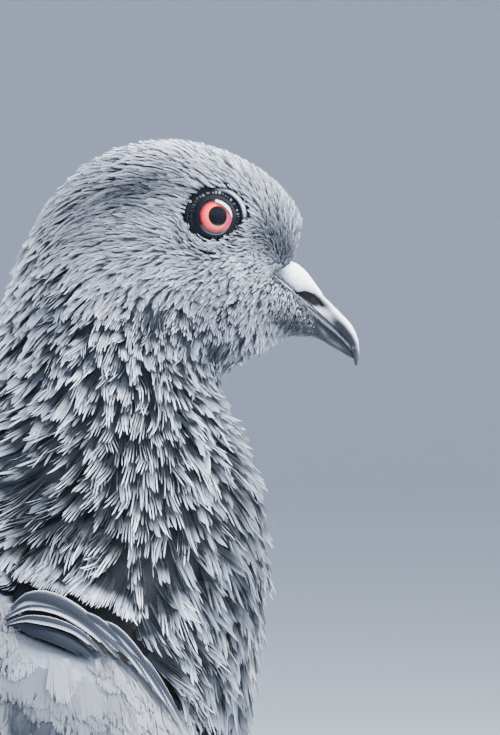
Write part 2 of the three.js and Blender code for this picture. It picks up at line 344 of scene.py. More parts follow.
def new_material(name: str) -> tuple[bpy.types.Material, Tree, bpy.types.Node]:
    """Makes an empty material and gives it with its tree and its output node."""
    material = bpy.data.materials.new(name)
    material.use_nodes = True
    tree = material.node_tree
    tree.nodes.clear()
    return material, tree, tree.nodes.new("ShaderNodeOutputMaterial")


def per_metre(size_mm: float) -> float:
    """A noise or wave scale whose features are about that many millimetres across."""
    return 1.0 / (size_mm * MM)


@dataclass(frozen=True)
class Plumage:
    """Keratin feather vanes: soft, matt and faintly silky along the barbs.

    The colour of each feather comes from its pigment, darkens to the downy root, which is partly
    the down's own grey and partly painted shade between the rows, and carries the fine barbs,
    which are drawn coarser than real ones so that they show.
    """

    name: str
    root: str = "#1d2229"
    root_from: float = 0.1
    root_to: float = 0.55
    barb_mm: float = 0.35
    barb_depth: float = 0.25
    roughness: float = 0.62
    gloss: float = 0.35
    sheen: float = 0.12
    strand_shade: float = 0.28
    shade_slit_mm: float = 0.0

    def build(self) -> bpy.types.Material:
        """Makes the material, which reads the pigment, along, strand and vane attributes."""
        material, tree, output = new_material(self.name)
        pigment = add_node(tree, "Attribute", attribute_name="pigment").outputs["Color"]
        along = add_node(tree, "Attribute", attribute_name="along").outputs["Fac"]
        strand = add_node(tree, "Attribute", attribute_name="strand").outputs["Fac"]
        vane = add_node(tree, "Attribute", attribute_name="vane").outputs["Vector"]
        # The darker root is partly the down's own grey and partly painted shade between the rows.
        bare = add_node(
            tree, "MapRange",
            {"Value": along, "From Min": self.root_from, "From Max": self.root_to},
            interpolation_type="SMOOTHSTEP",
        ).outputs["Result"]
        colour = add_node(
            tree, "Mix", {0: bare, 6: linear(self.root), 7: pigment}, data_type="RGBA"
        )
        shade = add_node(
            tree, "MapRange",
            {"Value": strand, "To Min": 1 - self.strand_shade, "To Max": 1 + self.strand_shade},
        ).outputs["Result"]
        split = add_node(tree, "SeparateXYZ", {"Vector": vane})
        across = add_node(tree, "Math", {0: split.outputs["X"]}, operation="ABSOLUTE").outputs[0]
        slant = add_node(tree, "Math", {0: split.outputs["Y"], 1: across}, operation="SUBTRACT")
        scaled = add_node(
            tree, "Math",
            {0: slant.outputs[0], 1: math.tau / self.barb_mm},
            operation="MULTIPLY",
        )
        barb = add_node(tree, "Math", {0: scaled.outputs[0]}, operation="SINE").outputs[0]
        lit = add_node(
            tree, "MapRange",
            {"Value": barb, "From Min": -1.0, "To Min": 1 - self.barb_depth, "To Max": 1.0},
        ).outputs["Result"]
        both = add_node(tree, "Math", {0: shade, 1: lit}, operation="MULTIPLY").outputs[0]
        # Some tips are parted by thin dark lines of painted shade.
        if self.shade_slit_mm:
            slit = self.slits(tree, split.outputs["X"], along)
            both = add_node(tree, "Math", {0: both, 1: slit}, operation="MULTIPLY").outputs[0]
        tinted = add_node(tree, "VectorMath", {0: colour.outputs[2], "Scale": both}, operation="SCALE")
        shader = add_node(
            tree, "BsdfPrincipled",
            {
                "Base Color": tinted.outputs["Vector"],
                "Roughness": self.roughness,
                "Specular IOR Level": self.gloss,
                "Sheen Weight": self.sheen,
                "Sheen Roughness": 0.4,
            },
        )
        tree.links.new(shader.outputs["BSDF"], output.inputs["Surface"])
        return material

    def slits(self, tree: Tree, across: Socket, along: Socket) -> Socket:
        """Thin dark slits of painted shade where the barbs part at some tips, as a factor of the
        colour.
        """
        place = add_node(tree, "TexCoord").outputs["Object"]
        patchy = add_node(
            tree, "TexNoise", {"Vector": place, "Scale": per_metre(4.0), "Detail": 2.0}
        ).outputs["Fac"]
        shift = add_node(
            tree, "MapRange", {"Value": patchy, "To Min": -9.0, "To Max": 9.0}
        ).outputs["Result"]
        scaled = add_node(
            tree, "Math", {0: across, 1: math.tau / self.shade_slit_mm, 2: shift}, operation="MULTIPLY_ADD"
        ).outputs[0]
        line = add_node(tree, "Math", {0: scaled}, operation="SINE").outputs[0]
        line = add_node(
            tree, "MapRange", {"Value": line, "From Min": 0.3, "From Max": 0.65}
        ).outputs["Result"]
        late = add_node(
            tree, "MapRange", {"Value": along, "From Min": 0.66, "From Max": 0.80}
        ).outputs["Result"]
        some = add_node(
            tree, "MapRange", {"Value": patchy, "From Min": 0.49, "From Max": 0.54}
        ).outputs["Result"]
        deep = add_node(tree, "Math", {0: line, 1: late}, operation="MULTIPLY").outputs[0]
        deep = add_node(tree, "Math", {0: deep, 1: some}, operation="MULTIPLY").outputs[0]
        light = add_node(tree, "MapRange", {"Value": deep, "To Min": 1.0, "To Max": 0.06})
        return light.outputs["Result"]


# ---------------------------------------------------------------- how the coat lies


@dataclass(frozen=True)
class Guide:
    """How the coat grows at one place, in millimetres.

    Fields: the place from the eye, forward and up; the way the feathers lie there; their length
    and width; how far their tips stand off; and the depth of the coat over the skin.
    """

    at: tuple[float, float]
    lie: tuple[float, float]
    length: float
    width: float
    lift: float
    depth: float


HEAD_GUIDES = (
    Guide((12.9, -4.4), (-0.30, 0.95), 2.2, 0.65, 0.05, 0.5),
    Guide((11.7, 3.0), (-0.45, 0.89), 2.8, 0.75, 0.05, 0.7),
    Guide((6.4, 10.3), (-0.83, 0.55), 3.4, 0.85, 0.05, 0.9),
    Guide((-3.4, 13.0), (-1.0, 0.03), 4.0, 0.95, 0.05, 1.0),
    Guide((-14.7, 11.1), (-0.90, -0.42), 4.8, 1.05, 0.05, 1.1),
    Guide((-23.7, 5.4), (-0.62, -0.78), 5.6, 1.2, 0.05, 1.3),
    Guide((-28.6, -2.7), (-0.42, -0.90), 6.5, 1.5, 0.05, 1.6),
    Guide((0.7, 7.8), (-0.97, 0.20), 3.0, 0.7, 0.0, 0.7),
    Guide((-9.9, 4.8), (-0.97, -0.15), 4.0, 0.8, 0.0, 0.9),
    Guide((-17.0, 4.5), (-0.85, -0.50), 4.8, 1.0, 0.0, 1.0),
    Guide((-4.6, -2.8), (-0.82, 0.57), 3.2, 0.5, 0.1, 0.7),
    Guide((-9.5, 0.2), (-0.90, 0.40), 4.2, 0.5, 0.15, 0.9),
    Guide((-14.7, -2.7), (-1.0, -0.05), 4.6, 0.6, 0.1, 1.0),
    Guide((-9.9, -6.3), (-0.90, -0.43), 4.2, 0.55, 0.1, 0.9),
    Guide((-15.6, -10.9), (-0.68, -0.73), 5.0, 0.9, 0.15, 1.3),
    Guide((-2.6, -6.8), (-0.98, -0.18), 3.0, 0.55, 0.05, 0.7),
    Guide((6.4, -4.4), (-0.85, -0.25), 1.7, 0.55, 0.05, 0.5),
    Guide((7.2, -8.4), (-0.95, -0.15), 1.7, 0.6, 0.05, 0.5),
    Guide((1.5, -10.5), (-0.88, -0.48), 2.5, 1.05, 0.25, 0.8),
    Guide((3.9, -12.8), (-0.70, -0.71), 2.6, 1.45, 0.5, 0.9),
    Guide((11.3, -13.9), (-0.90, -0.35), 1.5, 0.45, 0.05, 0.45),
    Guide((15.3, -16.0), (-0.95, -0.20), 1.1, 0.40, 0.0, 0.35),
    Guide((8.3, -18.0), (-0.45, -0.90), 3.4, 1.35, 0.4, 0.8),
    Guide((4.8, -20.5), (-0.20, -0.98), 4.6, 1.5, 0.8, 1.1),
    Guide((2.8, -25.5), (0.05, -1.0), 5.6, 1.6, 0.5, 1.5),
    Guide((-4.2, -14.5), (-0.50, -0.86), 3.6, 1.5, 0.45, 1.1),
    Guide((0.7, -17.4), (-0.22, -0.97), 4.2, 1.6, 0.5, 1.2),
    Guide((-9.9, -16.0), (-0.32, -0.94), 4.8, 1.5, 0.3, 1.5),
    Guide((-16.4, -16.0), (-0.45, -0.90), 5.4, 1.5, 0.3, 1.6),
    Guide((-22.9, -12.5), (-0.50, -0.87), 6.0, 1.6, 0.15, 1.7),
)
NECK_GUIDES = (
    Guide((-29.4, -19.0), (-0.35, -0.94), 7.0, 1.9, 0.2, 2.0),
    Guide((-19.6, -25.5), (-0.28, -0.96), 7.4, 2.0, 0.4, 2.3),
    Guide((-9.9, -25.5), (0.0, -1.0), 7.4, 2.1, 0.5, 2.3),
    Guide((-0.1, -27.1), (0.15, -0.99), 7.6, 2.1, 0.5, 2.2),
    Guide((4.8, -33.6), (0.42, -0.90), 9.0, 2.2, 0.6, 2.5),
    Guide((8.3, -43.4), (0.34, -0.94), 10.5, 2.5, 0.7, 3.0),
    Guide((9.6, -54.7), (0.12, -0.99), 11.5, 2.9, 0.7, 3.4),
    Guide((9.3, -67.7), (-0.04, -1.0), 12.5, 3.2, 0.6, 3.6),
    Guide((-5.0, -38.5), (0.14, -0.99), 9.0, 2.4, 0.9, 2.9),
    Guide((-14.7, -36.9), (-0.22, -0.98), 9.0, 2.4, 0.9, 2.9),
    Guide((-24.5, -35.2), (-0.55, -0.83), 9.0, 2.5, 1.0, 2.9),
    Guide((-31.8, -35.2), (-0.70, -0.71), 9.5, 2.5, 1.1, 2.8),
    Guide((-29.4, -45.0), (-0.82, -0.57), 10.5, 2.8, 1.3, 3.2),
    Guide((-19.6, -48.2), (-0.62, -0.78), 10.5, 2.9, 1.3, 3.3),
    Guide((-9.9, -48.2), (-0.12, -0.99), 10.5, 2.9, 1.2, 3.4),
    Guide((-0.1, -51.5), (0.30, -0.95), 10.8, 2.9, 1.0, 3.4),
    Guide((-31.0, -55.5), (-0.62, -0.78), 8.5, 4.9, 0.3, 2.4),
    Guide((-23.0, -57.0), (-0.55, -0.83), 8.5, 4.9, 0.3, 2.4),
    Guide((-16.0, -59.0), (-0.45, -0.89), 8.5, 4.7, 0.4, 2.6),
    Guide((-8.2, -62.9), (0.28, -0.96), 9.5, 2.9, 0.5, 3.2),
    Guide((-4.5, -69.3), (0.46, -0.89), 10.0, 2.6, 0.4, 3.2),
    Guide((-0.6, -78.0), (0.38, -0.92), 10.5, 2.6, 0.4, 3.2),
)
TRUNK_GUIDES = (
    Guide((-50.0, -48.0), (-0.66, -0.75), 12.0, 5.0, 0.2, 2.6),
    Guide((-64.0, -66.0), (-0.72, -0.69), 16.0, 7.5, 0.1, 3.0),
    Guide((-84.0, -83.0), (-0.78, -0.63), 20.0, 10.0, 0.0, 3.0),
    Guide((-117.0, -110.0), (-0.80, -0.60), 22.0, 11.0, 0.0, 3.0),
    Guide((-147.0, -134.0), (-0.83, -0.56), 26.0, 12.0, 0.0, 3.0),
    Guide((-168.0, -148.0), (-0.88, -0.47), 28.0, 12.0, 0.0, 2.0),
    Guide((3.5, -88.0), (-0.30, -0.95), 15.0, 4.5, 0.4, 4.0),
    Guide((-3.0, -105.0), (-0.55, -0.83), 17.0, 6.0, 0.3, 4.4),
    Guide((-14.0, -124.0), (-0.78, -0.62), 19.0, 7.5, 0.3, 4.6),
    Guide((-34.0, -143.0), (-0.94, -0.34), 21.0, 9.0, 0.3, 4.8),
    Guide((-67.0, -162.0), (-1.0, -0.08), 22.0, 9.5, 0.2, 5.0),
    Guide((-100.0, -165.0), (-1.0, 0.03), 24.0, 10.0, 0.1, 4.5),
    Guide((-142.0, -159.0), (-0.99, 0.03), 30.0, 12.0, 0.0, 3.0),
    Guide((-77.0, -145.0), (-0.97, -0.20), 22.0, 10.0, 0.2, 3.5),
)
WING_GUIDES = (
    Guide((-2.0, -86.0), (-0.15, -0.99), 6.5, 4.4, 0.0, 0.45),
    Guide((-14.0, -73.0), (0.06, -1.0), 7.0, 5.0, 0.0, 0.32),
    Guide((-32.0, -66.0), (-0.02, -1.0), 7.0, 5.0, 0.0, 0.32),
    Guide((-5.0, -100.0), (-0.45, -0.89), 7.5, 5.0, 0.0, 0.9),
    Guide((-20.0, -110.0), (-0.78, -0.62), 9.0, 6.0, 0.0, 1.5),
    Guide((-36.0, -92.0), (-0.45, -0.89), 8.0, 5.6, 0.0, 0.8),
    Guide((-55.0, -80.0), (-0.55, -0.84), 10.0, 7.0, 0.0, 1.6),
    Guide((-60.0, -110.0), (-0.87, -0.50), 12.0, 8.5, 0.0, 1.7),
    Guide((-80.0, -92.0), (-0.82, -0.57), 13.0, 9.0, 0.0, 1.7),
    Guide((-62.0, -138.0), (-0.97, -0.22), 14.0, 9.0, 0.0, 1.7),
    Guide((-110.0, -115.0), (-0.90, -0.44), 16.0, 11.0, 0.0, 1.6),
    Guide((-142.0, -138.0), (-0.92, -0.39), 18.0, 11.0, 0.0, 1.2),
)
THIGH_GUIDES = (
    Guide((-66.0, -150.0), (-0.45, -0.89), 9.0, 4.0, 0.1, 1.8),
    Guide((-72.0, -168.0), (-0.28, -0.96), 7.0, 3.0, 0.1, 1.4),
    Guide((-77.0, -182.0), (-0.25, -0.97), 4.5, 2.0, 0.0, 0.8),
)


# A guide's say falls with this power of the distance from it, past a small core in millimetres.
GUIDE_CORE, GUIDE_FALL = 0.8, 3.2


class Region(Enum):
    """The parts of the skin that carry different coats."""

    HEAD = 0
    NECK = 1
    TRUNK = 2
    WING = 3
    THIGH = 4


REGION_NODES = {
    Region.HEAD: ("head",),
    Region.NECK: ("neck",),
    Region.TRUNK: ("trunk",),
    Region.WING: ("wing_right", "wing_left"),
    Region.THIGH: ("thigh_right", "thigh_left"),
}
FLESH = tuple(node for nodes in REGION_NODES.values() for node in nodes)
BODY_GUIDES = HEAD_GUIDES + NECK_GUIDES + TRUNK_GUIDES
REGION_GUIDES = {
    Region.HEAD: BODY_GUIDES,
    Region.NECK: BODY_GUIDES,
    Region.TRUNK: BODY_GUIDES,
    Region.WING: WING_GUIDES,
    Region.THIGH: THIGH_GUIDES,
}


@dataclass
class Growth:
    """How the coat grows at each of many places, as arrays with one row each."""

    lie: Array
    length: Array
    width: Array
    lift: Array
    depth: Array

    @staticmethod
    def over(points: Array, normals: Array, region: Array) -> "Growth":
        """Blends the guides over many places of the skin.

        Args:
            points: the places, one row each.
            normals: the way that the skin faces there.
            region: the number of the region that each one is in.

        Returns:
            The growth there, with its lie in the skin's surface.
        """
        measures = np.zeros((len(points), 4))
        lie = np.zeros((len(points), 3))
        for which, guides in REGION_GUIDES.items():
            here = region == which.value
            if not here.any():
                continue
            at = np.array([guide.at for guide in guides])
            away = np.linalg.norm(from_eye(points[here])[:, None] - at[None], axis=2)
            weight = 1.0 / (away + GUIDE_CORE) ** GUIDE_FALL
            weight /= weight.sum(1, keepdims=True)
            lie[np.ix_(here, [0, 2])] = weight @ np.array([guide.lie for guide in guides])
            measures[here] = weight @ np.array(
                [(guide.length, guide.width, guide.lift, guide.depth) for guide in guides]
            )
        lie -= normals * (lie * normals).sum(1, keepdims=True)
        return Growth(unit(lie), *(measures.T * MM))


# ---------------------------------------------------------------- markings

DARK = np.array(linear("#20252e")[:3])
PALE = np.array(linear("#d3d9e6")[:3])


@dataclass(frozen=True)
class Mark:
    """A soft oval patch of the coat, lighter or darker than what is round it.

    Fields: its middle and its two half sizes in millimetres in the side plane, its turn in
    degrees, and its own lightness from 0 to 1.
    """

    at: tuple[float, float]
    size: tuple[float, float]
    turn: float
    lightness: float

    def weight(self, places: Array) -> Array:
        """How much of the mark shows at places in the side plane, from 0 to 1."""
        turn = math.radians(self.turn)
        along = np.array([math.cos(turn), math.sin(turn)])
        across = np.array([-along[1], along[0]])
        offset = places - np.array(self.at)
        share = (offset @ along / self.size[0]) ** 2 + (offset @ across / self.size[1]) ** 2
        return np.exp(-share)


# Markings of the coat. The pale band along the top of the crown is a painted highlight; the dark chin
# (13.2, -16.8), the dark spot on the throat (4, -24) and the darker front of the neck (8, -64) are
# painted shade.
MARKS = (
    Mark((-3.0, 12.5), (16.0, 3.6), -4.0, 1.0),
    Mark((10.4, -3.7), (4.5, 4.5), -8.0, 0.0),
    Mark((13.6, 2.0), (1.5, 3.4), 10.0, 0.72),
    Mark((-14.0, 4.9), (9.5, 2.7), 24.0, 0.16),
    Mark((-5.5, 5.0), (4.0, 1.8), -8.0, 0.42),
    Mark((-22.0, 1.5), (6.0, 3.5), 55.0, 0.40),
    Mark((4.4, -7.4), (4.6, 3.2), 0.0, 0.96),
    Mark((-3.0, -8.0), (7.0, 3.2), 12.0, 0.88),
    Mark((13.2, -16.8), (5.2, 2.3), -14.0, 0.0),
    Mark((4.0, -24.0), (3.4, 3.0), 0.0, 0.42),
    Mark((-28.0, -12.0), (6.0, 12.0), 0.0, 0.70),
    Mark((8.0, -64.0), (6.0, 34.0), 0.0, 0.42),
    Mark((-30.0, -50.0), (9.0, 8.0), 0.0, 0.70),
)
# Markings of the wing's bend; the first is painted shade along its upper edge under the plumes.
WING_MARKS = (
    Mark((-15.0, -71.4), (6.5, 1.7), -42.0, 0.20),
    Mark((-24.0, -72.0), (9.0, 2.6), -20.0, 0.62),
    Mark((-8.0, -82.0), (4.0, 7.0), 30.0, 0.36),
)
# The neck's full lightness is a painted sheen, standing for the pale shine of its iridescent tips over
# darker slate.
REGION_LIGHTNESS = {
    Region.HEAD: 0.76,
    Region.NECK: 1.0,
    Region.TRUNK: 0.70,
    Region.WING: 0.28,
    Region.THIGH: 0.62,
}
RUMP_PALE = Mark((-135.0, -122.0), (26.0, 14.0), 38.0, 0.86)


def lightness_at(points: Array, region: Array) -> Array:
    """How light the coat's tips are at each place, from 0 to 1."""
    light = np.array([REGION_LIGHTNESS[which] for which in Region])[region]
    places = from_eye(points)
    body = (region != Region.WING.value) & (region != Region.THIGH.value)
    for marks, here in ((MARKS + (RUMP_PALE,), body), (WING_MARKS, region == Region.WING.value)):
        for mark in marks:
            light = light + (mark.lightness - light) * mark.weight(places) * here
    return light


def pigment(lightness: Array) -> Array:
    """The linear colour of a lightness from 0 to 1, cool grey all the way."""
    return DARK + (PALE - DARK) * np.clip(lightness, 0, 1)[:, None] ** 1.6


# ---------------------------------------------------------------- the skin under the coat

SPINE = np.array(
    [(20.0, -14.0), (8.0, -2.0), (-8.0, -4.0), (-10.0, -26.0), (-18.0, -58.0), (-50.0, -95.0),
     (-90.0, -122.0), (-140.0, -146.0), (-230.0, -176.0)]
)


def unwrapped(points: Array) -> Array:
    """Where points of the skin lie on its unwrap: round the bird, and along it from the bill.

    Args:
        points: places on the skin, one row each.

    Returns:
        Two coordinates from 0 to 1 for each one.
    """
    places = from_eye(points)
    start, step = SPINE[:-1], np.diff(SPINE, axis=0)
    lengths = np.linalg.norm(step, axis=1)
    before = np.concatenate([[0.0], np.cumsum(lengths)[:-1]])
    offset = places[:, None] - start[None]
    share = np.clip((offset * step).sum(2) / lengths**2, 0, 1)
    away = np.linalg.norm(offset - share[..., None] * step, axis=2)
    nearest = away.argmin(1)
    rows = np.arange(len(points))
    along = (before[nearest] + share[rows, nearest] * lengths[nearest]) / lengths.sum()
    offset = offset[rows, nearest]
    over = (step[nearest, 0] * offset[:, 1] - step[nearest, 1] * offset[:, 0]) / lengths[nearest]
    turn = np.arctan2(points[:, 1] / MM, -over)
    return np.stack([turn / math.tau + 0.5, along], 1)


@dataclass
class Ground:
    """A surface that feathers grow on, with arrays of what is so at each of its faces."""

    tree: BVHTree
    middle: Array
    normal: Array
    area: Array
    region: Array
    sunk: Array
    growth: Growth

    def nearest(self, points: Array) -> tuple[Array, Array]:
        """The nearest place on the surface to each point, and the face that it is on."""
        found = [self.tree.find_nearest(point) for point in points]
        return np.array([hit[0] for hit in found]), np.array([hit[2] for hit in found])


# How much of the coat's colour the skin under it has, region by region, and its cool tint. The
# low shares, all but the wing's, are partly the down's own grey and partly painted shade in the
# gaps between feathers.
SKIN_SHOWN = (0.22, 0.032, 0.10, 0.95, 0.25)
SKIN_TINT = np.array([0.96, 1.0, 1.06])


@dataclass
class Skin:
    """The one skin over all the flesh, which lies inside the coat by the coat's depth.

    Fields: the voxel size, how far the parts are grown so that their thin gaps close, and the
    largest share of the body's own thickness that the coat may take up.
    """

    voxel: float = 1.1 * MM
    closing: float = 0.35 * MM
    share: float = 0.36
    piece: Piece = field(init=False)
    form: BVHTree = field(init=False)
    ground: Ground = field(init=False)

    def plug(self, node: str) -> Piece:
        """Keeps the root of a bill piece, to fill its socket and to carry the feathered jaw."""
        piece = joined_copy("Plug", [node])
        jaw = node == "bill_lower"
        cut, way = (at_eye(17.7, -17.0), (1, 0, 0)) if jaw else (at_eye(11.7, -6.4), (0.934, 0, 0.357))
        bisect = bpy.ops.mesh.bisect
        edit_all(piece, bisect, plane_co=cut, plane_no=way, clear_outer=True, use_fill=True)
        return piece

    def shape(self) -> None:
        """Joins the flesh into one closed surface that stands where the coat's tips lie."""
        parts = [joined_copy("skin", [*FLESH, "eye_right", "eye_left"])]
        parts += [self.plug(node) for node in ("bill_upper", "bill_lower", "cere")]
        self.piece = joined(parts)
        melt(self.piece, self.closing, self.voxel, 4)
        self.form = surface_tree(self.piece)

    def regions(self, points: Array) -> Array:
        """The number of the region that each point of the skin is nearest to."""
        trees = [node_surface(nodes) for nodes in REGION_NODES.values()]
        away = [[tree.find_nearest(point)[3] for point in points] for tree in trees]
        return np.argmin(np.array(away), axis=0)

    def sink(self) -> None:
        """Pulls the surface in by the coat's depth and notes what grows on each face."""
        place, normal = coordinates(self.piece), normals_of(self.piece)
        region = self.regions(place)
        region[over_dome(place) & (region == Region.WING.value)] = Region.TRUNK.value
        region[on_dome(place)] = Region.WING.value
        depth = Growth.over(place, normal, region).depth
        for i, (point, way) in enumerate(zip(place, normal)):
            hit = self.form.ray_cast(point - way * 0.3 * MM, -way)
            if hit[0] is not None:
                depth[i] = min(depth[i], self.share * hit[3])
        # Round the eye it lies at one depth, under the bare lids.
        eye = from_eye(place)
        near_eye = (np.abs(place[:, 1]) > 6 * MM) * rise(np.hypot(*eye.T), 6.2, 4.8)
        depth = depth * (1 - near_eye) + 1.9 * MM * near_eye
        place = place - normal * depth[:, None]
        # The skin narrows under the cere, so that the bare cere shows over it.
        over = np.maximum(np.abs(place[:, 1]) - 4.4 * MM, 0) * np.sign(place[:, 1])
        place[:, 1] -= over * rise(inside_cere(place), -0.9, 0.3)
        move_vertices(self.piece, place)
        apply_modifier(self.piece, "SMOOTH", factor=0.5, iterations=3)
        faces = np.array([polygon.vertices[:4] for polygon in self.piece.data.polygons])
        place, normal = coordinates(self.piece), normals_of(self.piece)
        middle, facing = place[faces].mean(1), unit(normal[faces].mean(1))
        area = np.array([polygon.area for polygon in self.piece.data.polygons])
        region = region[faces[:, 0]]
        self.ground = Ground(
            surface_tree(self.piece), middle, facing, area, region, depth[faces].mean(1),
            Growth.over(middle, facing, region),
        )

    def dress(self) -> None:
        """Gives the skin its markings and painted shade, its material and its place in the model."""
        place = coordinates(self.piece)
        found = self.ground.nearest(place)[1]
        region = self.ground.region[found]
        soft = region <= Region.TRUNK.value
        # Painted shade darkens the skin in the hollow over the wing's bend, under the fringe of the
        # hackles and in the hollows of the ruff.
        lifted = place + np.array([0.0, 0.0, -2.6 * MM])
        painted_shade = np.maximum(dark_patch(place), np.maximum(under_skirt(lifted), hollow(place)) * soft)
        shown = pigment(lightness_at(place, region)) * np.array(SKIN_SHOWN)[region, None] * SKIN_TINT
        paint(self.piece, "pigment", shown * (1 - 0.8 * painted_shade)[:, None])
        dressed(self.piece, DownySkin().build(), "body_plumage", *FLESH)

    def build(self) -> None:
        """Makes the skin."""
        self.shape()
        self.sink()
        self.dress()
        LOG.info("skin: %d faces", len(self.piece.data.polygons))


# ---------------------------------------------------------------- feathers


def paint(piece: Piece, name: str, values: Array) -> None:
    """Stores one value, vector or linear colour for each vertex of a mesh under a name."""
    if values.ndim == 1:
        kind, key, flat = "FLOAT", "value", values
    elif name == "pigment":
        kind, key = "FLOAT_COLOR", "color"
        flat = np.concatenate([values, np.ones((len(values), 1))], 1)
    else:
        kind, key, flat = "FLOAT_VECTOR", "vector", values
    layer = piece.data.attributes.new(name, kind, "POINT")
    layer.data.foreach_set(key, flat.astype(np.float32).ravel())


@dataclass
class Paths:
    """The lines that a batch of feathers lies along.

    Fields: the points of each line from root to tip and the way the surface faces at each, in
    three-deep arrays; and for each feather its width, its lightness and its place on the
    skin's unwrap.
    """

    at: Array
    up: Array
    width: Array
    light: Array
    root: Array

    def chosen(self, keep: Array) -> "Paths":
        """Only the feathers that a mask or a list of row numbers picks."""
        return Paths(*(part[keep] for part in (self.at, self.up, self.width, self.light, self.root)))

    @staticmethod
    def laid(lines: Sequence[Array], ups: Sequence[Array], width: Array, light: Array) -> "Paths":
        """Puts together lines that were laid one by one."""
        at = np.array(lines)
        return Paths(at, np.array(ups), width, light, unwrapped(at[:, 0]))


def along_path(path: Array, share: Array) -> Array:
    """Reads points from lines at shares of their lengths, one first index for each line."""
    last = path.shape[1] - 1
    place = np.clip(share, 0, 1) * last
    first = np.minimum(place.astype(int), last - 1)
    part = (place - first)[..., None]
    rows = np.arange(len(path)).reshape((-1,) + (1,) * (share.ndim - 1))
    return path[rows, first] * (1 - part) + path[rows, first + 1] * part


# Half the size of a feather's own patch on the bake map.
PATCH_HALF = 0.0013


